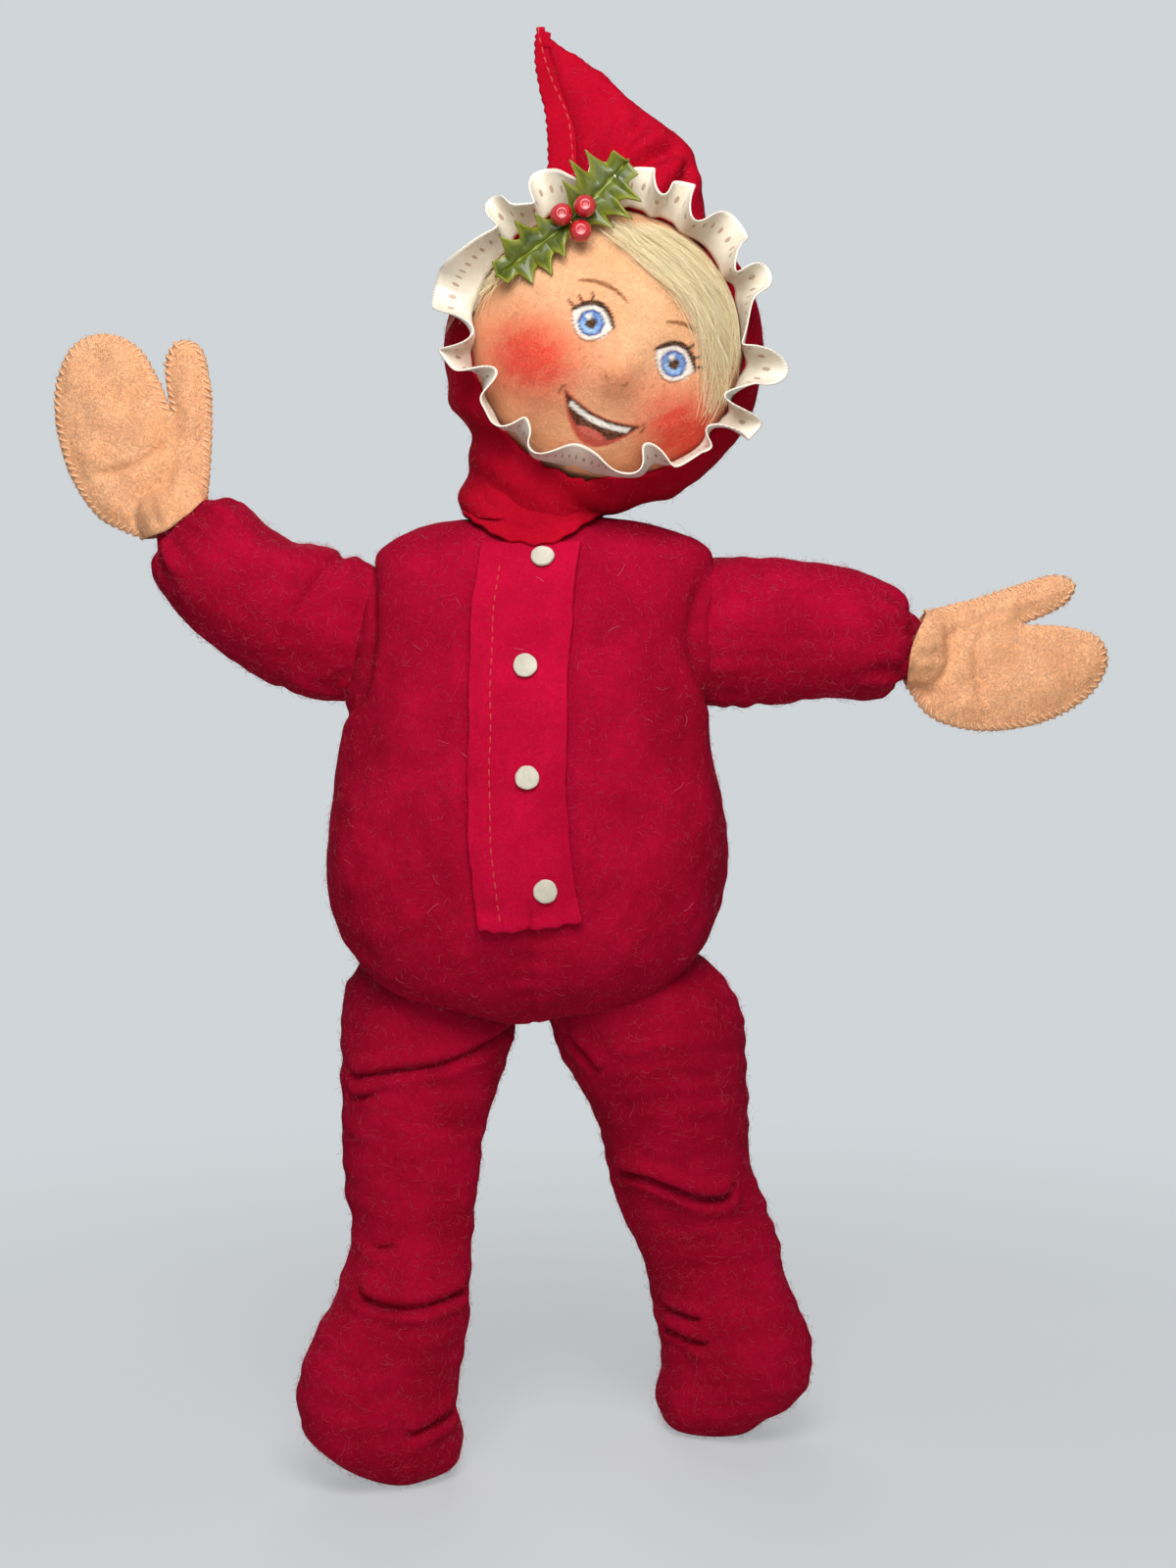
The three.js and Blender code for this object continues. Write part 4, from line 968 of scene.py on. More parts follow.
leg = {
    # distance along the leg from the hip, half width, half depth, shift to the doll's left and to the front
    "right": [
        (-27, 8, 8, 0, 0), (-24, 15, 15, 0, 0), (-15, 25, 24, 0, 0), (-4, 30, 28.5, 0, 0.5),
        (10, 31, 29.5, 0, 2), (22, 29.6, 28.8, -0.4, 3), (31, 28, 27.8, -0.8, 3), (43, 25.5, 26, -1.6, 2),
        (55, 24, 24.8, -1.7, 0.6), (70, 23, 23.4, -0.4), (83, 20.8, 21.4, 1.6), (99, 22.4, 21.8, 0),
        (108, 23, 21.8, -0.5), (116, 20, 20, 0), (124, 14, 14, 0), (128, 6, 6, 0),
    ],
    "left": [
        (-27, 8, 8, 0, 6), (-24, 15, 15, 0, 7), (-15, 25, 24, 1, 8), (-4, 31, 28.5, 3, 8),
        (10.6, 33.8, 29.8, 5, 7), (24, 32, 29.2, 5.6, 5), (40, 29, 27.4, 4.7, 2.4),
        (55, 27.3, 25.8, 2.3, 0.6), (70, 25.5, 24, 0.1), (82, 25.5, 23.4, 0.4), (97, 25.2, 22.8, 2.4),
        (108, 24.6, 22.2, 3.2), (116, 21, 20, 3), (124, 14, 14, 3), (128, 6, 6, 3),
    ],
    # below the ankle, then the ring's middle ahead of it and its half lengths ahead and across
    "foot": [
        (-14, 0, 18, 18), (-6, 1.2, 25.5, 21.2), (4, 4.1, 28.4, 21.8), (12.6, 6.9, 29.8, 22),
        (20, 8.6, 29.8, 22.2), (27, 9.5, 29.2, 22.2), (33, 8.4, 28.6, 21.8), (38.6, 5.9, 28.6, 22),
        (44.5, 2.5, 25, 21.4), (48.5, 0, 21.5, 19.5), (52.7, -1, 17, 16), (55.6, -0.5, 10, 10),
    ],
    # folds on the front: x and z of their course, depth, width
    "folds": {
        "right": [([(-83.5, 141), (-67, 144.6), (-47.6, 147.6), (-32, 153), (-22, 158.7)], 3.4, 2.0),
                  ([(-83, 134), (-70.6, 136.7)], 2.0, 1.7),
                  ([(-80, 69.5), (-66.7, 66.2), (-54, 65.6), (-40, 67.3)], 4.0, 1.9),
                  ([(-76, 83), (-63, 85.6)], 2.2, 1.8),
                  ([(-62, 21), (-52, 23), (-46, 25.5), (-43, 30.7)], 3.2, 2.0)],
        "left": [([(-7.7, 158), (0, 149), (6, 141)], 2.8, 2.0),
                 ([(11.9, 103), (26.4, 101), (39.6, 95.4), (51.4, 94), (57, 97.5)], 4.2, 2.0),
                 ([(29, 49.5), (44, 46.4)], 3.4, 1.8), ([(29, 41.5), (47, 37.7)], 3.0, 1.8)],
    },
    "sides": 44, "rows": 70, "voxel": 3.4, "soften": 8, "sole": 0.35,
    "filling": {"pressure": 3.5, "slack": 0.02, "cap": 2.0, "frames": 14},
    "lumps": 0.6, "lumpSize": 26, "ripples": 0.42, "rippleSize": 11, "stretch": (0.5, 0.5, 1.4),
    "seeds": {"right": 23, "left": 31}, "foldEnds": (0.45, 6, 1.8),
    "outerSeam": {"right": (0.8, 1.2, 0.12, 10, 6), "left": (0.8, 1.2, 0.3, 10, 6)},
    "innerSeam": (0.8, 1.2, 0.1, 9, 5),
}


def legLine(side):
    return [jointAt(side + "_hip"), jointAt(side + "_knee"), jointAt(side + "_ankle")]


def toeWay(side):
    # the foot points square to its ankle's hinge
    hinge = np.array(joints[side + "_ankle"]["axis"], float)
    way = unit(np.cross(hinge, upright))
    return way if way[1] < 0 else -way


def eggRings(halves, ways, rows, sides):
    rings = []
    turn = fullTurn(sides)
    for t in np.linspace(0.06, math.pi - 0.06, rows):
        flat = halves[0] * np.outer(np.cos(turn), ways[0]) + halves[1] * np.outer(np.sin(turn), ways[1])
        rings.append(math.sin(t) * flat - halves[2] * math.cos(t) * ways[2])
    return rings


def footRings(ankle, ahead):
    rings = []
    turn = fullTurn(leg["sides"])
    across = np.cross(-upright, ahead)
    for below, front, long, wide in smoothRows(leg["foot"], 40):
        mid = ankle + ahead * front - below * upright
        rings.append(mid + long * np.outer(np.cos(turn), ahead) + wide * np.outer(np.sin(turn), across))
    return rings


def makeLeg(side):
    d = leg
    line = legLine(side)
    hip, knee, ankle = line
    shapes = [loft(limbRings(line, d[side], d)), loft(footRings(ankle, toeWay(side)))]
    obj = fuse(side + "_limb", shapes, d["voxel"], d["soften"])
    thigh = unit(knee - hip)
    stuff(obj, d["filling"], lambda co: ease((-8 - (co - hip) @ thigh) / 6) + 0.6 * ease((3 - co[:, 2]) / 3))
    subdivide(obj, 2)
    co, no = readPoints(obj), readNormals(obj)
    unevenFelt(co, no, d, d["seeds"][side], d["stretch"])
    tree, no = moved(obj, co)
    out = outWay[side]
    rows = [knee + (hip - knee) * t for t in np.linspace(-0.7, 0.9, 40)]
    sewSeam(co, no, onSkin(tree, rows, (-out, 0, 0)), *d["outerSeam"][side])
    sewSeam(co, no, onSkin(tree, rows[:26], (out, 0, 0)), *d["innerSeam"])
    foldFront(co, no, tree, d, d["folds"][side], 0)
    # the sole is pressed flat on the floor
    co[:, 2] = np.where(co[:, 2] < d["sole"], d["sole"] + 0.05 * (co[:, 2] - d["sole"]), co[:, 2])
    writePoints(obj, co)
    cut = (knee[2] + ankle[2]) / 2
    return splitAt(obj, (side + "_leg", side + "_foot"), lambda p: (p[:, 2] < cut).astype(float))


# head, in its own frame: x to the doll's left, y to the back, z to the crown

head = {"rise": 65, "turn": 2, "halves": (54, 47, 53), "opening": (48.5, 47), "openingRise": 0.5}
neckAt = jointAt("head_turn")
headZ = unit(joints["head_turn"]["axis"])
levelX = unit(np.cross([0, 1, 0], headZ))
headTurn = math.radians(head["turn"])
headX = math.cos(headTurn) * levelX + math.sin(headTurn) * np.array(toBack)
headY = np.cross(headZ, headX)
headMid = neckAt + head["rise"] * headZ
headAxes = np.array([headX, headY, headZ])


def fromHead(h):
    return headMid + np.asarray(h, float) @ headAxes


def toHead(co):
    return (np.asarray(co, float) - headMid) @ headAxes.T


def onHead(hx, hz, lift):
    # points on the front of the head
    a, b, c = (half + lift for half in head["halves"])
    hx, hz = np.asarray(hx, float), np.asarray(hz, float)
    deep = np.sqrt(np.clip(1 - (hx / a) ** 2 - (hz / c) ** 2, 0.0004, 1))
    return np.stack([hx, -b * deep, hz], axis=-1)


# face: a stuffed ball of felt with a soft relief, painted by hand

face = {
    "rows": 240, "front": 190, "rear": 44, "shift": 8, "drop": 4, "under": 2.4,
    # x, z, radius and height of each swelling
    "relief": [(0, -6, 6.5, 4.2), (0, 2, 6, 1.8), (25, -13, 15, 3.4), (-25, -13, 15, 3.4), (0, -35, 11, 2.8),
               (15.5, 6, 8, -1.3), (-15.5, 6, 8, -1.3), (0, -21, 10, -0.9), (0, 26, 22, 1.5)],
    "eye": {"x": 15.5, "z": 6, "wide": 7.0, "tall": 6.0, "iris": 4.5, "pupil": 2.0},
    "brow": {"z": 17.0, "wide": 9, "lift": 2.4, "thick": 0.75},
    "mouth": {"z": -18.5, "wide": 14, "drop": 9.5, "lip": 2.6},
    "cheek": {"x": 29, "z": -13, "wide": 18, "tall": 14},
    "freckles": [(8.5, -2.5), (12, -5), (15.5, -3), (18, -6.5), (10, -7)],
    "colors": {"dark": (0.020, 0.010, 0.008), "brown": (0.20, 0.075, 0.022), "white": (0.86, 0.82, 0.74),
               "blush": (0.72, 0.055, 0.035), "warm": (0.80, 0.16, 0.07), "iris": (0.012, 0.055, 0.26),
               "ray": (0.16, 0.42, 0.82), "shine": (0.42, 0.66, 0.92), "freckle": (0.36, 0.12, 0.04),
               "lips": (0.46, 0.030, 0.028), "inside": (0.050, 0.006, 0.006), "tongue": (0.60, 0.10, 0.085)},
}


def stroke(x, z, path, thick):
    # how much of a painted line covers each point
    flatPoints = np.column_stack([x, z, np.zeros_like(x)])
    flatPath = np.column_stack([np.asarray(path, float), np.zeros(len(path))])
    gap, where, _, run = alongPath(flatPoints, flatPath)
    taper = 0.35 + 0.65 * np.sqrt(np.clip(np.minimum(where, run - where) / (0.3 * run + 1e-6), 0, 1))
    return ease((thick * taper - gap) / 0.5 + 0.5)


def disc(x, z, mid, wide, tall, soft):
    r = np.sqrt(((x - mid[0]) / wide) ** 2 + ((z - mid[1]) / tall) ** 2)
    return ease((1 - r) * min(wide, tall) / soft + 0.5)


def arcPath(mid, wide, lift):
    t = np.linspace(-1, 1, 18)
    return np.column_stack([mid[0] + wide * t, mid[1] + lift * (1 - t * t)])


def paintFace(h):
    x, z = h[:, 0] - face["shift"], h[:, 2] + face["drop"]
    paint = np.zeros((len(h), 4))
    front = ease((-h[:, 1] - 4) / 8)

    def cover(mask, color):
        tint = face["colors"][color]
        mask = np.clip(mask * front, 0, 1)
        alpha = mask + paint[:, 3] * (1 - mask)
        safe = np.maximum(alpha, 1e-6)
        for k in range(3):
            paint[:, k] = (tint[k] * mask + paint[:, k] * paint[:, 3] * (1 - mask)) / safe
        paint[:, 3] = alpha

    def draw(path, thick, color, share=1):
        cover(share * stroke(x, z, path, thick), color)

    def dot(mid, wide, tall, color, share=1, soft=0.5):
        cover(share * disc(x, z, mid, wide, tall, soft), color)

    c, e, b, m = face["cheek"], face["eye"], face["brow"], face["mouth"]
    spray = 1 + 0.10 * softNoise(h, 5, 41) + 0.06 * softNoise(h, 2, 42)
    for s in (-1, 1):
        blush = np.exp(-(((x - s * c["x"]) / c["wide"]) ** 2 + ((z - c["z"]) / c["tall"]) ** 2)) * spray
        cover(1.15 * blush, "blush")
    warm = np.exp(-((x / 9) ** 2 + ((z + 7) / 7) ** 2)) + np.exp(-((x / 16) ** 2 + ((z + 36) / 7) ** 2))
    cover(0.28 * warm * spray, "warm")
    for s in (-1, 1):
        mid = (s * e["x"], e["z"])
        dot(mid, e["wide"], e["tall"], "white", 0.9)
        look = (mid[0], mid[1] - 0.3)
        dot(look, e["iris"], e["iris"], "iris")
        r = np.hypot(x - look[0], z - look[1])
        ray = 0.5 + 0.5 * np.sin(17 * np.arctan2(z - look[1], x - look[0]))
        dot(look, e["iris"] - 0.7, e["iris"] - 0.7, "ray", 0.45 + 0.4 * ray)
        dot((look[0], look[1] - 1.6), 2.8, 1.6, "shine", 0.6 * (r > e["pupil"]), 1.2)
        dot(look, e["pupil"], e["pupil"], "dark")
        dot((look[0] - 1.5, look[1] + 1.7), 1.05, 1.05, "white", 1, 0.4)
        lid = arcPath((mid[0], mid[1] + 0.6), e["wide"] + 1.0, e["tall"])
        draw(lid, 0.95, "dark")
        draw(arcPath((mid[0], mid[1] - 0.4), e["wide"], -e["tall"] - 0.2), 0.4, "brown", 0.8)
        for k, t in enumerate((0.35, 0.62, 0.86)):
            root = lid[int(round((1 + s * t) / 2 * (len(lid) - 1)))]
            draw([root, root + np.array([s * (1.4 + 0.9 * k), 3.2 - 0.7 * k])], 0.5, "dark")
        draw(arcPath((s * (e["x"] + 0.8), b["z"]), b["wide"], b["lift"]), b["thick"], "brown", 0.9)
        draw([(s * 2.0, -9.2), (s * 3.6, -8.6), (s * 4.2, -7.0)], 0.4, "brown", 0.7)
        corner = np.array([s * m["wide"], m["z"]])
        draw([corner + (s * 1.2, -1.6), corner + (s * 1.6, 0.4), corner + (s * 0.6, 2.2)], 0.5, "brown", 0.9)
        for fx, fz in face["freckles"]:
            dot((s * fx + 0.4 * s * math.sin(fz), fz + 0.7 * s), 0.55, 0.55, "freckle", 0.55)
    # an open smile: lips, the dark inside, teeth and tongue
    t = x / m["wide"]
    bow = np.clip(1 - t * t, 0, 1)
    top = m["z"] - 0.30 * m["drop"] * bow
    low = m["z"] - 1.06 * m["drop"] * bow
    inside = ease((top - z) / 0.6 + 0.5) * ease((z - low) / 0.6 + 0.5) * (np.abs(t) < 1)
    lips = ease((top + 0.9 - z) / 0.7 + 0.5) * ease((z - low + m["lip"] * bow) / 0.7 + 0.5) * (np.abs(t) < 1)
    cover(0.92 * lips, "lips")
    cover(inside, "inside")
    cover(inside * ease((z - (top - 2.2)) / 0.5 + 0.5) * (np.abs(t) < 0.8), "white")
    dot((0, m["z"] - 1.12 * m["drop"]), 7.2, 3.6, "tongue", inside, 0.8)
    t = np.linspace(-1, 1, 24)
    draw(np.column_stack([t * m["wide"], m["z"] - 0.30 * m["drop"] * (1 - t**2)]), 0.5, "dark")
    return paint


def makeFace():
    d = face
    turn = np.concatenate([np.linspace(math.pi, 2 * math.pi, d["front"], endpoint=False),
                           np.linspace(0, math.pi, d["rear"], endpoint=False)])
    rings = []
    a, b, c = head["halves"]
    for t in np.linspace(0.02, math.pi - 0.02, d["rows"]):
        r = math.sin(t)
        level = np.full_like(turn, -c * math.cos(t))
        rings.append(np.column_stack([a * r * np.cos(turn), b * r * np.sin(turn), level]))
    points, faces = loft(rings)
    h = np.array(points)
    out = h / np.array(head["halves"]) ** 2
    out /= np.linalg.norm(out, axis=1)[:, None]
    front = ease((-h[:, 1] - 8) / 10)
    for x, z, radius, rise in d["relief"]:
        far = (h[:, 0] - d["shift"] - x) ** 2 + (h[:, 2] + d["drop"] - z) ** 2
        h += out * (rise * front * np.exp(-far / radius**2))[:, None]
    # the ball is drawn in a little where the hood covers it
    wide, tall = head["opening"]
    reach = np.where(h[:, 1] > -4, 2, np.hypot(h[:, 0] / wide, (h[:, 2] - head["openingRise"]) / tall))
    h += out * (0.12 * softNoise(h, 9, 43) - d["under"] * ease((reach - 0.95) / 0.14))[:, None]
    obj = makeObject("painted_face", fromHead(h), faces, finishes["face"])
    colors = obj.data.color_attributes.new("paint", "FLOAT_COLOR", "POINT")
    colors.data.foreach_set("color", paintFace(h).astype(np.float32).ravel())
    return obj


# hood: a felt cap with a flat pointed tail, drawn in at the neck

hood = {
    "over": 3.0, "felt": 1.5, "voxel": 2.3, "soften": 5, "sides": 56, "tailSides": 48,
    # height above the middle of the head, reach to the doll's right and left of it, half depth
    "tail": [(113.5, -23.6, -22.4, 1.0), (107, -24.6, -13.0, 2.0), (95.5, -23.7, 2.3, 3.6),
             (82.5, -20.8, 17.5, 6.0), (71.5, -20.0, 31.5, 9.5), (61, -20.5, 34.2, 14), (50, -23, 35.6, 20),
             (33, -28, 36, 27)],
    # along the neck from its bend, half width and half depth of the draped part
    "drape": [(-7, 24, 24), (4, 25, 25), (14, 28.5, 28), (28, 36, 34), (44, 44, 40), (56, 46, 40)],
    "hem": -4, "folds": 1.1, "lumps": 0.5, "lumpSize": 26, "ripples": 0.2, "rippleSize": 9,
    "seam": (1.0, 1.2, 0.3, 6, 5),
    # creases at the tail's bend: points from its corner, depth, width
    "corner": (31, 0, 71), "creaseEnds": (0.5, 7),
    "creases": [([(0, 0, 0), (-14, 0, -5), (-30, 0, -14), (-42, 0, -22)], 3.6, 2.8),
                ([(1, 0, -2), (-4, 0, -14), (-13, 0, -24)], 2.6, 2.4),
                ([(-14, 0, 16), (-20, 0, 4), (-27, 0, -8)], 1.8, 3.0)],
}


def tailRings():
    rings = []
    turn = fullTurn(hood["tailSides"])
    u, s = np.cos(turn), np.sin(turn)
    thick = np.where(u < 0, np.abs(s) ** 1.5, np.abs(s) ** 0.9) * np.sign(s)  # thin towards the seam
    for rise, right, left, deep in smoothRows(hood["tail"], 60):
        right += (flapWide(rise) - 1.2) * ease((rise - 38) / 20)
        x = headMid[0] + (right + left) / 2 + (left - right) / 2 * u
        y = headMid[1] + 3 + deep * thick
        rings.append(np.column_stack([x, y, np.full_like(x, headMid[2] + rise)]))
    return rings[::-1]


def drapeWay(at):
    # the drape leaves the shoulders upright and leans over with the head
    lean = ease((at + 8) / 26)
    return unit((1 - lean) * upright + lean * headZ)


def drapeRings():
    rings = []
    turn = fullTurn(hood["sides"])
    for at, wide, deep in smoothRows(hood["drape"], 40):
        way = drapeWay(at)
        side = unit(np.cross(toBack, way))
        back = np.cross(way, side)
        mid = neckAt + at * (headZ if at > 0 else upright)
        rings.append(mid + wide * np.outer(np.cos(turn), side) + deep * np.outer(np.sin(turn), back))
    return rings


def makeHood():
    d = hood
    halves = [half + d["over"] for half in head["halves"]]
    ball = [fromHead(ring) for ring in eggRings(halves, np.eye(3), 40, d["sides"])]
    obj = fuse("felt_hood", [loft(ball), loft(tailRings()), loft(drapeRings())], d["voxel"], d["soften"])
    co = readPoints(obj)
    h = toHead(co)
    wide, tall = head["opening"]
    mid = head["openingRise"]
    inOpening = ((h[:, 0] / wide) ** 2 + ((h[:, 2] - mid) / tall) ** 2 < 1) & (h[:, 1] < -5)
    below = (co - neckAt) @ unit(headZ + 2 * upright) < d["hem"]
    work = bmesh.new()
    work.from_mesh(obj.data)
    work.verts.ensure_lookup_table()
    cut = [work.verts[int(i)] for i in np.nonzero(inOpening | below)[0]]
    bmesh.ops.delete(work, geom=cut, context="VERTS")
    # the edge of the opening is brought onto its oval
    for v in [v for v in work.verts if v.is_boundary]:
        p = toHead(np.array(v.co) / mm)
        if p[1] < 0 and p[2] > -46:
            r = math.hypot(p[0] / wide, (p[2] - mid) / tall)
            v.co = Vector(metres(fromHead(onHead(p[0] / r, mid + (p[2] - mid) / r, d["over"]))))
    bmesh.ops.smooth_vert(work, verts=[v for v in work.verts if not v.is_boundary], factor=0.5,
                          use_axis_x=True, use_axis_y=True, use_axis_z=True)
    work.to_mesh(obj.data)
    work.free()
    subdivide(obj, 1)
    co, no = readPoints(obj), readNormals(obj)
    h = toHead(co)
    # folds that run round the drawn-in neck and slant towards the low side of the head
    low = ease((-26 - h[:, 2]) / 16)
    spread = np.arctan2(h[:, 1], h[:, 0])
    wave = np.sin(0.42 * h[:, 2] + 2.3 * np.cos(spread) + 1.1)
    wave += 0.6 * np.sin(0.27 * h[:, 2] - 3.1 * np.sin(spread))
    co += no * (d["folds"] * low * wave)[:, None]
    unevenFelt(co, no, d, 51)
    tree, no = moved(obj, co)
    corner = headMid + np.array(d["corner"])
    for path, depth, width in d["creases"]:
        course = spline([corner + p for p in path], 14)
        for way in (toBack, (0, -1, 0)):
            pressFold(co, no, onSkin(tree, course, way), depth, width, *d["creaseEnds"])
    ridge = [headMid + np.array([0.6 * math.sin(t * 9), 40 * math.cos(t), 0]) + 60 * math.sin(t) * headZ
             for t in np.linspace(-0.5, 1.2, 40)]
    seam = np.array([tree.find_nearest(Vector(p))[0] for p in ridge])
    sewSeam(co, no, seam, *d["seam"])
    writePoints(obj, co)
    thicken(obj, d["felt"], -1)
    obj.data.materials.append(finishes["hood"])
    return obj


# the raw seam edge of the tail, two layers of felt left flat outside a row of stitches

tailEdge = {
    "thick": 2.2, "stitch": {"pitch": 3.4, "length": 2.3, "thread": 0.26, "rise": 0.24, "loose": 0.12},
    # height above the middle of the head and width of the edge there
    "wide": [(52, 11), (82, 9), (106, 3.8), (113.5, 1.3)],
}


def flapWide(rise):
    rows = np.array(tailEdge["wide"], float)
    return np.interp(rise, rows[:, 0], rows[:, 1])


def tailEdgeRows():
    rows = smoothRows(hood["tail"], 90)
    return rows[rows[:, 0] > tailEdge["wide"][0][0]]


def makeTailEdge():
    d = tailEdge
    rows = tailEdgeRows()
    rng = np.random.default_rng(7)
    count, cols = len(rows), 9
    points, faces = [], []
    for layer in (-1, 1):
        for i, (rise, right, _, _) in enumerate(rows):
            ragged = 0.35 * math.sin(i * 1.7) + rng.uniform(-0.3, 0.3)
            for k in range(cols):
                u = k / (cols - 1)
                x = right + (flapWide(rise) + 1.4) * u - (ragged if k == 0 else 0)
                bent = (0.7 * math.sin(i / 7.0) + 0.4) * (1 - u)
                y = 3 + layer * (d["thick"] / 2 * (1 if k else 0.6)) + bent
                points.append(headMid + np.array([x, y, rise]))

    def at(layer, i, k):
        return (layer * count + i) * cols + k

    for i in range(count - 1):
        for k in range(cols - 1):
            faces.append((at(0, i, k), at(0, i, k + 1), at(0, i + 1, k + 1), at(0, i + 1, k)))
            faces.append((at(1, i, k), at(1, i + 1, k), at(1, i + 1, k + 1), at(1, i, k + 1)))
        for k in (0, cols - 1):
            faces.append((at(0, i, k), at(0, i + 1, k), at(1, i + 1, k), at(1, i, k)))
    for i in (0, count - 1):
        for k in range(cols - 1):
            faces.append((at(0, i, k), at(1, i, k), at(1, i, k + 1), at(0, i, k + 1)))
    obj = makeObject("hood_tail_edge", points, faces, finishes["hood"])
    turnOut(obj)
    subdivide(obj, 1)
    return obj


def tailStitches(flap):
    # a running stitch just outside the tail's tube
    rows = tailEdgeRows()[2:-6]
    spots = [headMid + np.array([right + flapWide(rise) - 1.0, 0, rise]) for rise, right, _, _ in rows]
    line = onSkin(treeOf(flap), spots, toBack, 0.02)
    ways, ups = np.gradient(line, axis=0), [(0, -1, 0)] * len(line)
    return sewAlong("hood_tail_stitches", line, ways, ups, tailEdge["stitch"], "redThread", 13)


# ruffle: a ribbon gathered round the face opening

ruffle = {
    "wide": 14.5, "thick": 0.5, "steps": 1000, "rows": 12,
    # turn from the doll's left side, length of one wave, swing of the free edge, lean towards the front
    "waves": [(0, 20, 5.5, 62), (20, 24, 6.5, 74), (45, 19, 5.5, 60), (66, 16, 4.5, 48), (90, 14, 3.6, 42),
              (120, 14, 3.4, 42), (150, 16, 3.8, 44), (172, 22, 6.0, 30), (188, 24, 6.5, 16),
              (204, 22, 5.0, 58), (224, 22, 3.4, 88), (250, 24, 2.0, 102), (280, 24, 2.2, 108),
              (310, 24, 2.4, 108), (332, 22, 4.0, 90),
              (347, 20, 5.5, 58), (360, 20, 5.5, 62)],
    "tuck": 1.2, "inset": 1.5, "lift": 2.6, "fullness": 1.7,
}


def rufflePath():
    d = ruffle
    turn = fullTurn(d["steps"])
    table = np.array(d["waves"], float)
    length, swing, lean = (np.interp(np.degrees(turn), table[:, 0], table[:, k]) for k in (1, 2, 3))
    wide, tall = (half - d["inset"] for half in head["opening"])
    rim = onHead(wide * np.cos(turn), head["openingRise"] + tall * np.sin(turn), d["lift"])
    step = np.linalg.norm(np.diff(np.vstack([rim, rim[:1]]), axis=0), axis=1)
    waves = np.cumsum(step / length)
    waves *= round(waves[-1]) / waves[-1]
    phase = 2 * math.pi * waves
    phase = phase + 0.8 * np.sin(3 * turn + 0.6) + 0.6 * np.sin(7 * turn) + 0.4 * np.sin(11 * turn + 2)
    return turn, rim, phase, swing, np.radians(lean)


def makeRuffle():
    d = ruffle
    turn, rim, phase, swing, lean = rufflePath()
    outward = np.column_stack([np.cos(turn), np.zeros_like(turn), np.sin(turn)])
    forward = np.array([0, -1.0, 0])
    along = np.column_stack([-np.sin(turn), np.zeros_like(turn), np.cos(turn)])
    uneven = 1 + 0.25 * np.sin(5 * turn + 1.0) + 0.15 * np.sin(11 * turn)
    rings, flat = [], []
    run = runAlong(rim)
    for v in np.arange(d["rows"]) / (d["rows"] - 1):
        tilt = lean + 0.2 * v * np.sin(phase + 0.7)
        reach = v * d["wide"] * (1 - 0.06 * np.cos(phase))
        p = rim + (reach * np.cos(tilt))[:, None] * outward + (reach * np.sin(tilt))[:, None] * forward
        give = d["tuck"] * (1 - v) + swing * uneven * v**1.25
        normal = np.cos(tilt)[:, None] * forward - np.sin(tilt)[:, None] * outward
        p = p + (give * (np.sin(phase) + 0.35 * np.sin(2 * phase + 1.5 * np.sin(3 * turn))))[:, None] * normal
        p = p - (0.3 * swing * v * np.sin(2 * phase))[:, None] * along
        rings.append(fromHead(p))
        flat.append(np.column_stack([d["fullness"] * run, np.full(len(run), v)]))
    obj = makeObject("ribbon_ruffle", *loft(rings, closed=False), finishes["ribbon"])
    mapFlat(obj, "ribbon", np.vstack(flat))
    return thicken(obj, d["thick"], 0)


# hair: locks that start under the holly and fall along one side of the face

hair = {"guides": 60, "copies": 11, "spread": 3.0, "strand": 0.055, "wisps": 12, "strays": 14, "inside": 0.88}


def makeHair():
    d = hair
    rng = np.random.default_rng(61)
    lines = []
    for i in range(d["guides"]):
        t = i / (d["guides"] - 1)
        start = np.array([-16 + 18 * t, 33 + 10 * t]) + rng.normal(0, 1.4, 2)
        middle = np.array([4 + 18 * t, 27 + 13 * t]) + rng.normal(0, 1.8, 2)
        bend = np.array([21 + 15 * t, 21 + 10 * t]) + rng.normal(0, 1.8, 2)
        end = np.array([36 + 10 * t, 9 + 8 * t]) + rng.normal(0, 3.0, 2)
        if i < d["strays"]:
            end = np.array([44, -6]) + rng.normal(0, 6.0, 2)
        flat = flatSpline([start, middle, bend, end], 16)
        # no lock reaches the hood's edge
        reach = np.hypot(flat[:, 0] / head["opening"][0], flat[:, 1] / head["opening"][1])
        flat = flat * np.minimum(1, d["inside"] / reach)[:, None]
        lift = 1.4 + 2.2 * np.sin(np.linspace(0.15, 1, 16) * math.pi) + rng.uniform(0, 1.6)
        lines.append(onHead(flat[:, 0], flat[:, 1], lift))
    for i in range(d["wisps"]):
        start = np.array([-30 - 1.2 * i, 30 - 2.6 * i])
        end = start + np.array([-5, -15]) + rng.normal(0, 2.5, 2)
        flat = flatSpline([start, 0.5 * (start + end) + (-1.5, 1), end], 12)
        lines.append(onHead(flat[:, 0], flat[:, 1], 1.5 + np.sin(np.linspace(0, 1, 12) * math.pi)))
    mesh = bpy.data.meshes.new("mohair_tuft")
    points, edges = [], []
    for line in lines:
        base = len(points)
        points.extend((fromHead(line) * mm).tolist())
        edges.extend((base + k, base + k + 1) for k in range(len(line) - 1))
    mesh.from_pydata(points, edges, [])
    obj = bpy.data.objects.new("mohair_tuft", mesh)
    scene.collection.objects.link(obj)
    values = {"Copies": d["copies"], "Spread": d["spread"] * mm, "Strand": d["strand"] * mm, "Seed": 5,
              "Material": finishes["hair"]}
    return grow(obj, trees["strands"], values)


# holly: two moulded leaves, three berries and their wire stems

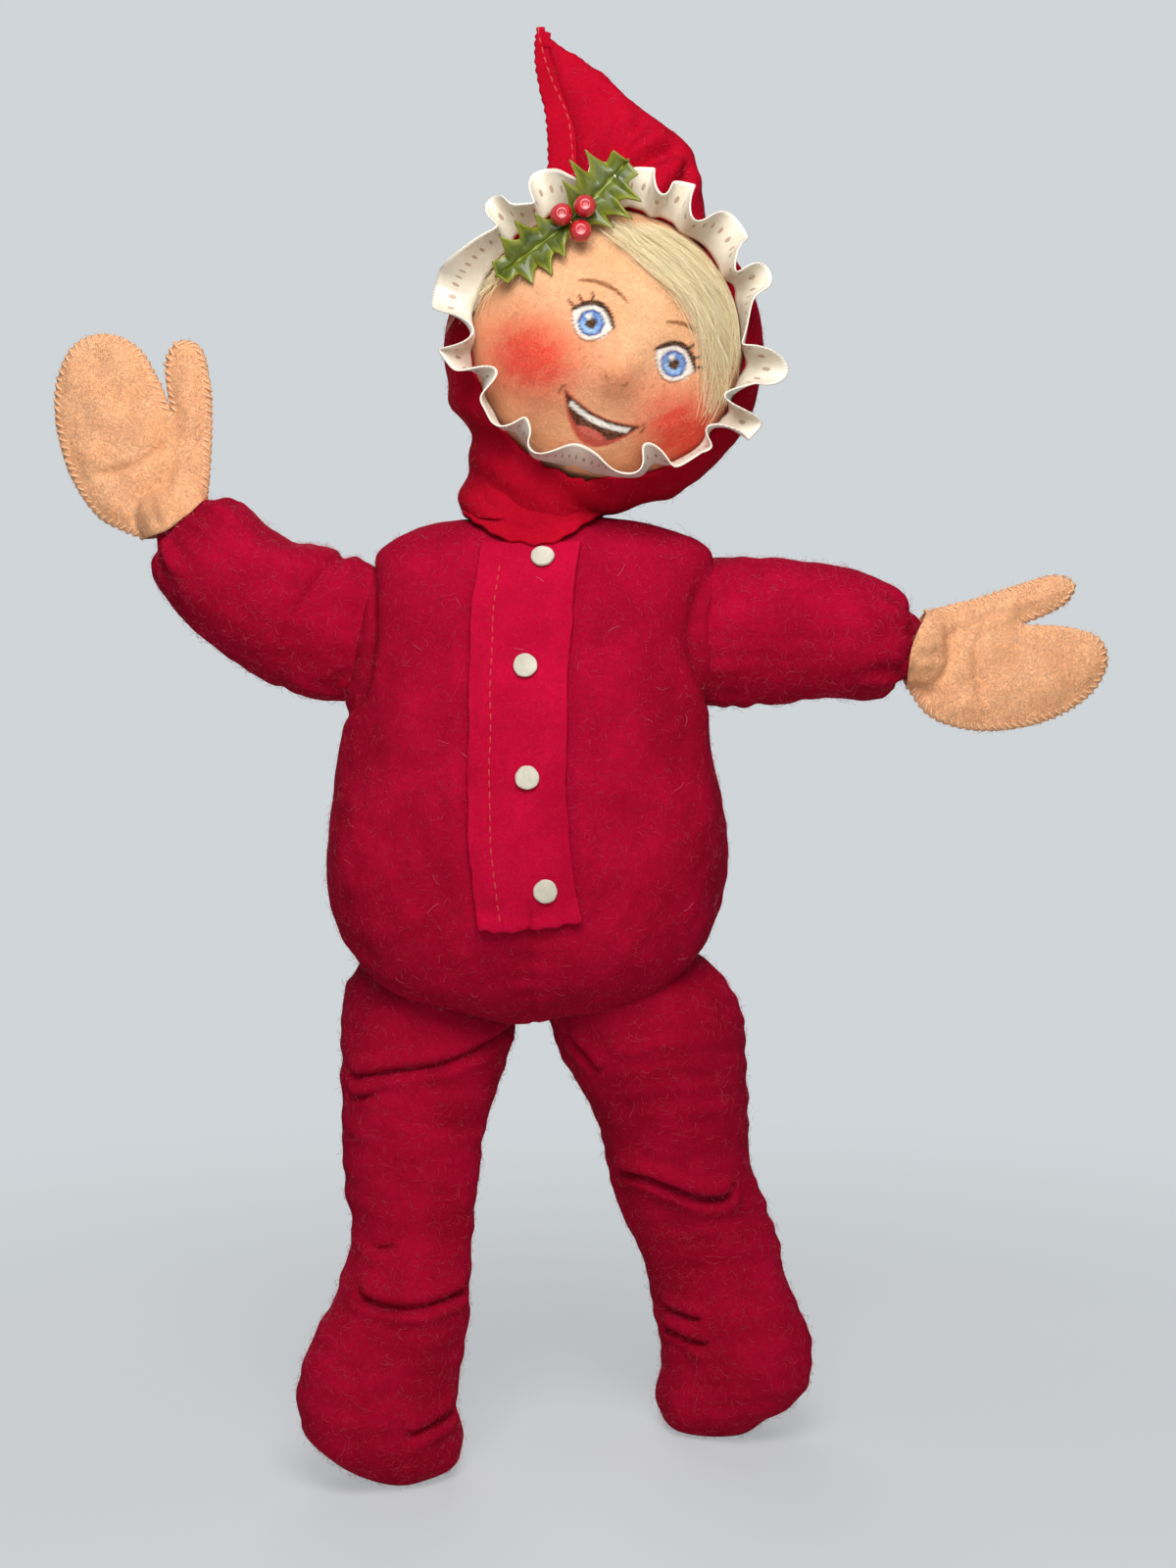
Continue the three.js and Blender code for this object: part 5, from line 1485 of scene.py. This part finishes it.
holly = {"length": (28, 31), "half": (14.5, 11), "spines": 4, "thick": 0.8, "cup": 2.6, "berry": 3.8,
         "ways": ((0.30, 0.954), (-0.5, -0.866)), "start": (-1.5, 2), "wire": (1.1, 0.55)}


def makeLeaf(name, way, start, length, wide, seed):
    # u runs across the leaf and v along it; the edge swings in between the spines
    d = holly
    root = nodeMid("holly_stem") - 3.2 * headY
    rows, cols = 97, 25
    along = unit(way[0] * levelX + way[1] * headZ)
    across = np.cross(headY, along)
    points, flat = [], []
    for j in range(rows):
        v = j / (rows - 1)
        saw = abs(((v * (d["spines"] + 0.5)) % 1.0) - 0.5) * 2
        swell = math.sin(math.pi * min(v * 1.04 + 0.02, 1.0)) ** 0.55
        half = wide * swell * (0.48 + 0.52 * saw**1.9) + 0.25
        for i in range(cols):
            u = 2 * i / (cols - 1) - 1
            lift = d["cup"] * (abs(u) ** 1.6) * saw - 1.2 * bell(u, 0.12) * swell
            curl = 2.6 * math.sin(2.2 * v + seed) + 1.1 * math.sin(9 * v + 2 * u + seed) * abs(u)
            reach = start + length * v + 1.6 * abs(u) * saw
            points.append(root + along * reach + across * (half * u) - headY * (lift + curl))
            flat.append((u, v))
    obj = makeObject(name, points, gridFaces(rows, cols), finishes["leaf"])
    mapFlat(obj, "leaf", flat)
    return thicken(obj, d["thick"], 0)


def makeBerry(name):
    rings = np.array(eggRings([holly["berry"]] * 3, np.array([headX, headZ, -headY]), 26, 32))
    out = -(rings @ headY) / holly["berry"]
    rings = rings + headY * (0.55 * bell(1 - out, 0.08) - 0.25 * bell(out - 0.9, 0.05))[..., None]
    obj = makeObject(name + "_fruit", *loft(rings + nodeMid(name)), finishes["berry"])
    turnOut(obj)
    return obj


def makeTube(path, radius, sides):
    path = np.asarray(path, float)
    rings = []
    turn = fullTurn(sides)
    for i, p in enumerate(path):
        way = unit(path[min(i + 1, len(path) - 1)] - path[max(i - 1, 0)])
        side = unit(np.cross(way, [0.31, 0.83, 0.46]))  # any way that no wire runs along
        over = np.cross(way, side)
        rings.append(p + radius * (np.outer(np.cos(turn), side) + np.outer(np.sin(turn), over)))
    obj = makeObject("twig", *loft(rings))
    turnOut(obj)
    return obj


def makeStems():
    # a twisted wire that goes into the hood, and a short one to each berry
    root = nodeMid("holly_stem")
    thick, thin = holly["wire"]
    tubes = [(spline([root + 5.5 * headY, root, root - 3.5 * headY], 10), thick)]
    for k in (1, 2, 3):
        mid = nodeMid(f"berry_{k}")
        tubes.append((spline([root, root + 0.45 * (mid - root) - 0.8 * headY, mid], 9), thin))
    points, faces = [], []
    for path, radius in tubes:
        some = makeTube(path, radius, 8)
        base = len(points)
        points.extend(readPoints(some).tolist())
        faces.extend(tuple(i + base for i in p.vertices) for p in some.data.polygons)
        bpy.data.objects.remove(some)
    return makeObject("holly_stems", points, faces, finishes["stem"])


# mittens: two felt layers sewn together round their edge

mitten = {
    # across towards the thumb and along from the wrist: from the cuff round the fingers to the fork,
    # then round the thumb
    "right": {
        "palm": [(-13.6, -1.4), (-19, 4), (-25, 12), (-28, 28), (-25, 48), (-17.5, 63), (-7, 71), (4, 70),
                 (12.5, 61.5), (14.6, 48), (14, 35)],
        "thumb": [(14, 35), (17, 46), (21, 54), (27, 57), (32.8, 52.5), (31, 40), (26, 27), (19.5, 14),
                  (13, 2.4)],
    },
    "left": {
        "palm": [(-13.5, -2.0), (-24, 6), (-29, 19), (-29, 36), (-24, 53), (-15.5, 65), (-5, 70), (3, 67.5),
                 (7.2, 57), (8.4, 39)],
        "thumb": [(8.4, 39), (11.5, 47), (16.5, 55.5), (22.5, 58), (26, 52), (22.5, 38), (18, 24), (15.5, 14),
                  (13.2, 5.5)],
    },
    "grain": 1.25, "felt": 1.3, "edge": 0.75, "puff": 4.5, "roll": 6.5, "cuff": 11.4, "clear": 0.8,
    "lumps": 0.9,
    "stitch": {"pitch": 2.8, "length": 3.6, "thread": 0.44, "rise": 0.5, "loose": 0.22}, "scallop": 0.32,
    "seeds": {"right": 71, "left": 75},
    # soft folds across the palm: across and along, depth, width
    "folds": [([(-22, 26), (-8, 23), (8, 25), (14, 30)], 2.0, 1.8), ([(14, 34), (8, 20), (0, 9)], 1.8, 2.0),
              ([(-14, 8), (-4, 13), (10, 10)], 1.8, 1.7)],
}


def handAxes(side):
    x = unit(joints[side + "_wrist"]["axis"])
    return x, np.cross(x, [0, -outWay[side], 0.0])


def layerWay(front):
    return np.array([0, -1.0 if front else 1.0, 0])


def layerName(front):
    return "front" if front else "rear"


def withoutDepth(flat):
    return np.column_stack([flat, np.zeros(len(flat))])


def outwards(seam):
    way = np.gradient(seam, axis=0)
    way /= np.linalg.norm(way, axis=1)[:, None]
    out = np.column_stack([-way[:, 1], way[:, 0]])
    if np.mean(np.sum(out * (seam - seam.mean(axis=0)), axis=1)) < 0:
        out = -out
    return way, out


def mittenOutline(side):
    # the sewn edge, drawn in a little at each stitch, and the whole rim with the cuff
    d = mitten[side]
    edge = np.vstack([flatSpline(d["palm"], 130), flatSpline(d["thumb"], 100)[1:]])
    run = runAlong(edge)
    _, out = outwards(edge)
    edge = edge + out * (mitten["scallop"] * np.sin(2 * math.pi * run / mitten["stitch"]["pitch"]))[:, None]
    last, first = edge[-1], edge[0]
    t = np.linspace(0, 1, 20)[1:-1, None]
    cuff = last + (first - last) * t - np.array([0, 3.4]) * np.sin(math.pi * t)
    return edge, np.vstack([edge, cuff])


def mittenLayer(side, front, sleeveSkin):
    # a flat net inside the outline, swelled by its distance from the edge and opened at the cuff
    d = mitten
    seam, rim = mittenOutline(side)
    size = d["grain"]
    low, high = rim.min(axis=0), rim.max(axis=0)
    grid = []
    for j, b in enumerate(np.arange(low[1], high[1], size * 0.87)):
        for a in np.arange(low[0] + (j % 2) * size / 2, high[0], size):
            grid.append((a, b, 0.0))
    grid = np.array(grid)
    gap = alongPath(grid, withoutDepth(np.vstack([rim, rim[:1]])))[0]
    inner = grid[gap > 0.6 * size][:, :2]
    flat = [Vector(p) for p in np.vstack([rim, inner])]
    net = delaunay_2d_cdt(flat, [], [list(range(len(rim)))], 1, 1e-4)
    across, along = np.array([p.x for p in net[0]]), np.array([p.y for p in net[0]])
    spots = np.column_stack([across, along, np.zeros_like(across)])
    seamGap = alongPath(spots, withoutDepth(seam))[0]
    rise = d["edge"] + d["puff"] * (1 - np.exp(-seamGap / d["roll"])) * ease((along + 8) / 20)
    half = max(abs(rim[0, 0]), 1) + abs(rim[len(seam) - 1, 0])
    mid = (rim[0, 0] + rim[len(seam) - 1, 0]) / 2
    oval = np.sqrt(np.clip(1 - ((across - mid) / (0.5 * half)) ** 2, 0, 1))
    rise = np.maximum(rise, d["edge"] + d["cuff"] * oval * ease((26 - along) / 28))
    seed = d["seeds"][side] + front
    rise = rise + d["lumps"] * softNoise(spots, 13, seed) * ease(seamGap / 5)
    rise = rise + 0.12 * softNoise(spots, 4, seed + 1)
    rise = rise + 0.5 * np.sin(0.9 * across + seed) * bell(along - 4, 6) * ease(seamGap / 3)
    x, z = handAxes(side)
    at = jointAt(side + "_wrist")
    face = layerWay(front)
    outer = at + np.outer(across, x) + np.outer(along, z) + np.outer(rise, face)
    for i in np.nonzero(along < 16)[0]:
        # the cuff stays clear of the gathered sleeve inside it
        hit, _, _, _ = sleeveSkin.ray_cast(Vector(outer[i] + 60 * face), Vector(-face))
        if hit is not None:
            need = float(np.dot(np.array(hit), face)) + d["felt"] + d["clear"]
            outer[i] += face * max(0.0, need - float(np.dot(outer[i], face)))
    inner = outer - d["felt"] * face
    count = len(across)
    faces = [tuple(f) for f in net[2]]
    shell = faces + [tuple(i + count for i in f[::-1]) for f in faces]
    shell += [(b, a, a + count, b + count) for a, b in rimOf(faces)]
    name = f"{side}_mitten_{layerName(front)}"
    obj = makeObject(name, np.vstack([outer, inner]), shell, finishes["flesh"])
    turnOut(obj)
    co = readPoints(obj)
    for rows, depth, width in d["folds"]:
        course = flatSpline(rows, 12) @ np.array([x, z]) + at + (d["edge"] + d["puff"]) * face
        gapTo, where, _, run = alongPath(co, course)
        move = -depth * bell(gapTo, width) * ease(where / 5) * ease((run - where) / 5)
        co += face * move[:, None]
    writePoints(obj, co)
    return obj


def mittenStitches(side, front):
    seam, _ = mittenOutline(side)
    x, z = handAxes(side)
    at = jointAt(side + "_wrist")
    face = layerWay(front)
    way, out = outwards(seam)
    line = seam - 1.1 * out
    slant = 0.85 * out + 0.5 * way
    points = at + np.outer(line[:, 0], x) + np.outer(line[:, 1], z) + (mitten["edge"] + 0.55) * face
    ways = np.outer(slant[:, 0], x) + np.outer(slant[:, 1], z)
    ups = face + 0.55 * (np.outer(out[:, 0], x) + np.outer(out[:, 1], z))
    name = f"{side}_mitten_stitches_{layerName(front)}"
    return sewAlong(name, points, ways, ups, mitten["stitch"], "peachThread", 3 + front)


# front strip, its stitches and its buttons

placket = {
    "felt": 1.3, "off": 0.4, "rows": 90, "columns": 30, "low": 41.5, "high": 172,
    # edges to the doll's right and left of the middle at both ends, and the strip's bow to the right between
    "edges": (-15.0, 20.2), "bow": 4.0,
    "stitchAt": 0.22, "stitch": {"pitch": 3.7, "length": 2.4, "thread": 0.2, "rise": 0.2, "loose": 0.1},
}


def placketEdges(v):
    d = placket
    z = d["low"] + (d["high"] - d["low"]) * v
    bow = d["bow"] * (1 - (2 * v - 1) ** 2)
    right = d["edges"][0] - bow + 0.5 * math.sin(z / 14.0) + 0.2 * math.sin(z / 4.1)
    left = d["edges"][1] - 1.5 * bow + 0.5 * math.sin(z / 17.0 + 1) + 0.2 * math.sin(z / 5.3)
    return right, left, z


def makePlacket(skin):
    d = placket
    rng = np.random.default_rng(81)
    ragged = [0.4 * math.sin(1.1 * k) + rng.uniform(-0.3, 0.3) for k in range(d["columns"])]
    points = []
    for j in range(d["rows"]):
        v = j / (d["rows"] - 1)
        right, left, z = placketEdges(v)
        for i in range(d["columns"]):
            u = i / (d["columns"] - 1)
            x = bodyX + right + (left - right) * u
            h = crotch + z + (ragged[i] - 1.6 * math.sin(math.pi * u) + 2.6 * u) * (1 - v) ** 12
            hit, normal, _, _ = skin.ray_cast(Vector((x, bodyY - 200, h)), Vector(toBack))
            lift = d["off"] + 2.2 * math.exp(-((z - d["low"]) / 4.5) ** 2) * (0.6 + 0.4 * math.sin(5 * u + 1))
            lift += 0.9 * math.exp(-((1 - u) / 0.07) ** 2) + 0.8 * math.exp(-(u / 0.07) ** 2)
            lift -= 0.25 * math.exp(-((u - d["stitchAt"]) / 0.025) ** 2)
            points.append(np.array(hit + normal * lift))
    obj = makeObject("placket_strip", points, gridFaces(d["rows"], d["columns"]))
    thicken(obj, d["felt"], 1)
    obj.data.materials.append(finishes["strip"])
    subdivide(obj, 1)
    return obj


def placketStitches(strip):
    d = placket
    spots = []
    for v in np.linspace(0.03, 0.93, 90):
        right, left, z = placketEdges(v)
        spots.append((bodyX + right + (left - right) * d["stitchAt"], bodyY, crotch + z))
    line = onSkin(treeOf(strip), spots, toBack, 0.02)
    ways, ups = np.gradient(line, axis=0), [(0, -1, 0.1)] * len(line)
    return sewAlong("placket_stitches", line, ways, ups, d["stitch"], "redThread", 9)


button = {
    "radius": 4.1, "thick": 1.7, "sides": 40, "off": 0.15,
    # share of the radius and of the thickness, from the underside round the edge to the top
    "profile": [(0.55, 0), (0.9, 0.02), (0.985, 0.2), (1.0, 0.5), (0.985, 0.8), (0.93, 0.97), (0.7, 1.02),
                (0.35, 1.04)],
}


def makeButton(k, strip):
    # a punched felt disc with a soft, slightly uneven edge
    mid = nodeMid(f"button_{k}")
    hit, normal, _, _ = treeOf(strip).ray_cast(Vector((mid[0], bodyY - 200, mid[2])), Vector(toBack))
    up = unit(np.array(normal))
    side = unit(np.cross(upright, up))
    over = np.cross(up, side)
    turn = fullTurn(button["sides"])
    wobble = 1 + 0.018 * np.sin(3 * turn + k) + 0.012 * np.sin(7 * turn + 2 * k)
    rings = []
    for share, rise in button["profile"]:
        r = button["radius"] * share * wobble
        ring = np.array(hit) + np.outer(r * np.cos(turn), side) + np.outer(r * np.sin(turn), over)
        rings.append(ring + up * (button["off"] + button["thick"] * rise))
    obj = makeObject(f"felt_button_{k}", *loft(rings), finishes["white"])
    turnOut(obj)
    return subdivide(obj, 1)


# neckband: the lower end of the hood, lying on the shoulders with a raw edge

neckband = {"felt": 1.5, "low": 23.8, "lip": 23.8, "bore": 22, "high": 15, "shift": 2.5, "sides": 120,
            "rows": 20, "front": 4.6, "overStrip": 1.7, "lying": 0.4}


def makeNeckband(skin):
    d = neckband
    turn = fullTurn(d["sides"])
    rings = []
    way = drapeWay(d["high"])
    side = unit(np.cross(toBack, way))

    def groundAt(r, c, s):
        spot = Vector((neckAt[0] + d["shift"] + r * c, neckAt[1] + r * s, 500))
        hit, _, _, _ = skin.ray_cast(spot, Vector((0, 0, -1)))
        return np.array(hit) if hit is not None else np.array([spot.x, spot.y, crotch + 150])

    for j in range(d["rows"]):
        v = j / (d["rows"] - 1)
        ring = []
        for t in turn:
            c, s = math.cos(t), math.sin(t)
            wave = 0.8 * math.sin(4 * t + 0.5) + 0.5 * math.sin(9 * t + 1)
            front = 0.5 - 0.5 * s
            edge = d["low"] + (d["front"] + 0.5 * wave + 0.4 * math.sin(23 * t)) * ease(2 * front - 0.85)
            over = d["overStrip"] * ease(front * 1.6 - 0.3)
            if v < d["lying"]:
                r = edge + (d["lip"] - edge) * (v / d["lying"])
                p = groundAt(r, c, s) + (0.7 + over + 1.2 * v + 0.5 * wave * v) * upright
            else:
                w = (v - d["lying"]) / (1 - d["lying"])
                foot = groundAt(d["lip"], c, s) + (1.2 + over + 0.2 * wave) * upright
                r = d["bore"]
                top = neckAt + 0.8 * d["high"] * headZ + r * c * side + r * s * np.cross(way, side)
                p = foot + (top - foot) * w
                fold = 1.1 * math.sin(3 * t + 5 * w + 0.6) + 0.6 * math.sin(7 * t - 4 * w)
                p = p + fold * math.sin(math.pi * w) * np.array([c, s, 0])
            ring.append(p)
        rings.append(ring)
    obj = makeObject("neckband_felt", *loft(rings, closed=False))
    thicken(obj, d["felt"], 1)
    turnOut(obj)
    obj.data.materials.append(finishes["hood"])
    return subdivide(obj, 1)


# putting each piece on its body; a piece that spans a joint is left where it stands, and the frame's parts it
# stands for are hidden

def bind(obj, how):
    if isinstance(how, str):
        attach(obj, how)
    else:
        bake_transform(obj)


def cloth(obj, how, slot, nodes=(), fill=None):
    bind(obj, how)
    if nodes:
        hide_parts(*nodes)


def sleeveBend(side):
    s, e, w = armLine(side)
    return (side + "_upper_arm", side + "_forearm", e - 17 * unit(e - s), e + 15 * unit(w - e))


def mittenBend(side):
    _, z = handAxes(side)
    at = jointAt(side + "_wrist")
    return (side + "_forearm", side + "_hand", at - 1 * z, at + 16 * z)


def kneeBend(side):
    h, k, a = legLine(side)
    return (side + "_thigh", side + "_shin", k - 22 * unit(k - h), k + 20 * unit(a - k))


def ankleBend(side):
    a = legLine(side)[2]
    return (side + "_shin", side + "_foot", a + 18 * upright, a - 14 * upright)


def skinNodes(side, *parts):
    return [f"{side}_{part}_{what}" for part in parts for what in ("skin", "filling")]


hoodBend = ("neck", "head", neckAt - 3 * headZ, neckAt + 20 * headZ)
neckbandBend = ("torso", "neck", neckAt - 5 * upright, neckAt + 7 * upright)

lint = {
    # number of fibres, their length, finish, seed and thickness
    "body": (8500, 1.9, "redLint", 1, 0.03), "stray": (170, 4.0, "paleLint", 2, 0.035),
    "sleeve": (2600, 2.2, "redLint", 5, 0.032), "mitten": (2000, 1.4, "peachLint", 6, 0.038),
    "leg": (3200, 2.2, "redLint", 8, 0.032), "hood": (5000, 1.9, "redLint", 11, 0.032),
}
lints = []


def fuzz(source, name, key, how, slot, more=0):
    count, length, finish, seed, thick = lint[key]
    lints.append((lintOn(source, name, count, length, finish, seed + more, thick), how, slot))


suit = makeBody()
suit.data.materials.append(finishes["suit"])
skin = treeOf(suit)
strip = makePlacket(skin)
threads = placketStitches(strip)
buttons = [makeButton(k, strip) for k in (1, 2, 3, 4)]
collar = makeNeckband(skin)
fuzz(suit, "suit_body_lint", "body", "torso", "red_felt")
fuzz(suit, "suit_body_stray_lint", "stray", "torso", "red_felt")
cloth(suit, "torso", "red_felt", ("torso_skin", "torso_filling"), 0.85)
cloth(strip, "torso", "red_felt", ("placket",))
cloth(threads, "torso", "red_felt")
for k, dot in enumerate(buttons, 1):
    cloth(dot, "torso", "white_felt", (f"button_{k}",))
cloth(collar, neckbandBend, "hood_felt", ("neckband", "neck_core"))
print("body, front strip and neckband made")

for side in ("right", "left"):
    arm = makeSleeve(side)
    arm.data.materials.append(finishes["suit"])
    armSkin = treeOf(arm)
    fuzz(arm, side + "_sleeve_lint", "sleeve", sleeveBend(side), "red_felt")
    cloth(arm, sleeveBend(side), "red_felt", skinNodes(side, "upper_arm", "forearm"), 0.8)
    for front in (True, False):
        layer = mittenLayer(side, front, armSkin)
        fuzz(layer, layer.name + "_lint", "mitten", mittenBend(side), "flesh_felt", front)
        sewn = mittenStitches(side, front)
        palm = front == (side == "right")
        cloth(layer, mittenBend(side), "flesh_felt", (f"{side}_hand_" + ("palm" if palm else "back"),))
        cloth(sewn, mittenBend(side), "flesh_felt")
    thigh, foot = makeLeg(side)
    for piece, how, parts in ((thigh, kneeBend(side), ("thigh", "shin")), (foot, ankleBend(side), ("foot",))):
        piece.data.materials.append(finishes["suit"])
        fuzz(piece, piece.name + "_lint", "leg", how, "red_felt")
        cloth(piece, how, "red_felt", skinNodes(side, *parts), 0.85)
    print(side, "arm and leg made")

visage = makeFace()
cap = makeHood()
flap = makeTailEdge()
flapThreads = tailStitches(flap)
frill = makeRuffle()
tuft = makeHair()
leafRows = zip(holly["ways"], holly["start"], holly["length"], holly["half"])
leaves = [makeLeaf(f"leaf_{k + 1}", *row, 1.3 * k) for k, row in enumerate(leafRows)]
berries = [makeBerry(f"berry_{k}") for k in (1, 2, 3)]
stems = makeStems()
fuzz(cap, "hood_lint", "hood", hoodBend, "hood_felt")
cloth(visage, "head", "flesh_felt", ("face", "head_filling"), 0.9)
cloth(cap, hoodBend, "hood_felt", ("hood",))
cloth(flap, "head", "hood_felt")
cloth(flapThreads, "head", "hood_felt")
cloth(frill, "head", "ribbon", ("ruffle",))
cloth(tuft, "head", "mohair", ("hair",))
for leafPiece, node in zip(leaves, ("holly_leaf_1", "holly_leaf_2")):
    cloth(leafPiece, "head", "leaf", (node,))
for k, fruit in enumerate(berries, 1):
    cloth(fruit, "head", "berry", (f"berry_{k}",))
cloth(stems, "head", "leaf", ("holly_stem",))
for fluff, how, slot in lints:
    cloth(fluff, how, slot)
print("head made")
for name, obj in frame["nodes"].items():
    if name.endswith("_wire"):
        obj.data.materials.clear()
        obj.data.materials.append(finishes["steel"])


# stage, lights and camera

stage = {
    "eye": (2, -850, 300), "aim": (2, 0, 243.5), "tall": 559,
    "backdrop": (0.63, 0.665, 0.69), "floor": (0.64, 0.64, 0.635), "fade": (0, 600, 0.5),
    "lamps": {
        "key": {"at": (0, -450, 670), "aim": (0, 0, 260), "size": 360, "power": 4.05},
        "fill": {"at": (40, -700, 320), "aim": (0, 0, 230), "size": 500, "power": 1.35},
        "back": {"at": (-150, 800, 520), "aim": (0, 0, 230), "size": 600, "power": 3.0},
    },
    "ambient": 0.12,
}


def aimAt(obj, eye, aim):
    way = Vector(np.array(aim, float) - np.array(eye, float))
    obj.location = metres(eye)
    obj.rotation_euler = way.to_track_quat("-Z", "Y").to_euler()
    scene.collection.objects.link(obj)
    return way.length


def lamp(name, spec):
    light = bpy.data.lights.new(name, "AREA")
    light.energy = spec["power"]
    light.size = spec["size"] * mm
    aimAt(bpy.data.objects.new(name, light), spec["at"], spec["aim"])


def seenBy(tree):
    # 1 where the camera, a reflection or glass looks at the surface itself
    path = put(tree, "ShaderNodeLightPath")
    either = calc(tree, "MAXIMUM", path.outputs["Is Camera Ray"], path.outputs["Is Glossy Ray"])
    return calc(tree, "MAXIMUM", either, path.outputs["Is Transmission Ray"])


def makeStage():
    radii = (100, 400, 900, 1600, 3000, 6000)
    rings = [[(r * math.cos(t), r * math.sin(t), 0) for t in fullTurn(96)] for r in radii]
    floor = makeObject("floor", *loft(rings, closed=False))
    material, tree, shader = newFinish("floor_paper")
    feed(tree, shader, {"Base Color": rgb(stage["floor"]), "Roughness": 0.9})
    where = put(tree, "ShaderNodeTexCoord").outputs["Object"]
    far = put(tree, "ShaderNodeVectorMath", {0: where}, operation="LENGTH").outputs["Value"]
    glow = put(tree, "ShaderNodeEmission", {"Color": rgb(stage["backdrop"]), "Strength": 1.0})
    near, away, least = stage["fade"]
    share = calc(tree, "MULTIPLY", span(tree, far, near * mm, away * mm, least, 1.0), seenBy(tree))
    mixed = put(tree, "ShaderNodeMixShader", {0: share, 1: shader.outputs[0], 2: glow.outputs[0]})
    tree.links.new(mixed.outputs[0], tree.nodes["Material Output"].inputs["Surface"])
    floor.data.materials.append(material)
    work = bmesh.new()
    work.from_mesh(floor.data)
    inner = [e for e in work.edges if e.is_boundary and e.verts[0].co.length < 0.2]
    bmesh.ops.contextual_create(work, geom=inner)
    bmesh.ops.recalc_face_normals(work, faces=work.faces)
    if sum(f.normal.z for f in work.faces) < 0:
        bmesh.ops.reverse_faces(work, faces=work.faces)
    work.to_mesh(floor.data)
    work.free()
    world = bpy.data.worlds.new("studio")
    scene.world = world
    world.use_nodes = True
    tree = world.node_tree
    seen = tree.nodes["Background"]
    seen.inputs["Color"].default_value = rgb(stage["backdrop"])
    soft = put(tree, "ShaderNodeBackground", {"Color": (0.95, 0.97, 1.0, 1.0), "Strength": stage["ambient"]})
    mixed = put(tree, "ShaderNodeMixShader", {0: seenBy(tree), 1: soft.outputs[0], 2: seen.outputs[0]})
    tree.links.new(mixed.outputs[0], tree.nodes["World Output"].inputs["Surface"])


makeStage()
for name, spec in stage["lamps"].items():
    lamp(name, spec)
camera = bpy.data.objects.new("camera", bpy.data.cameras.new("camera"))
far = aimAt(camera, stage["eye"], stage["aim"])
camera.data.lens = camera.data.sensor_width * far / stage["tall"]
scene.camera = camera
scene.view_settings.view_transform = "Standard"
print("stage set")
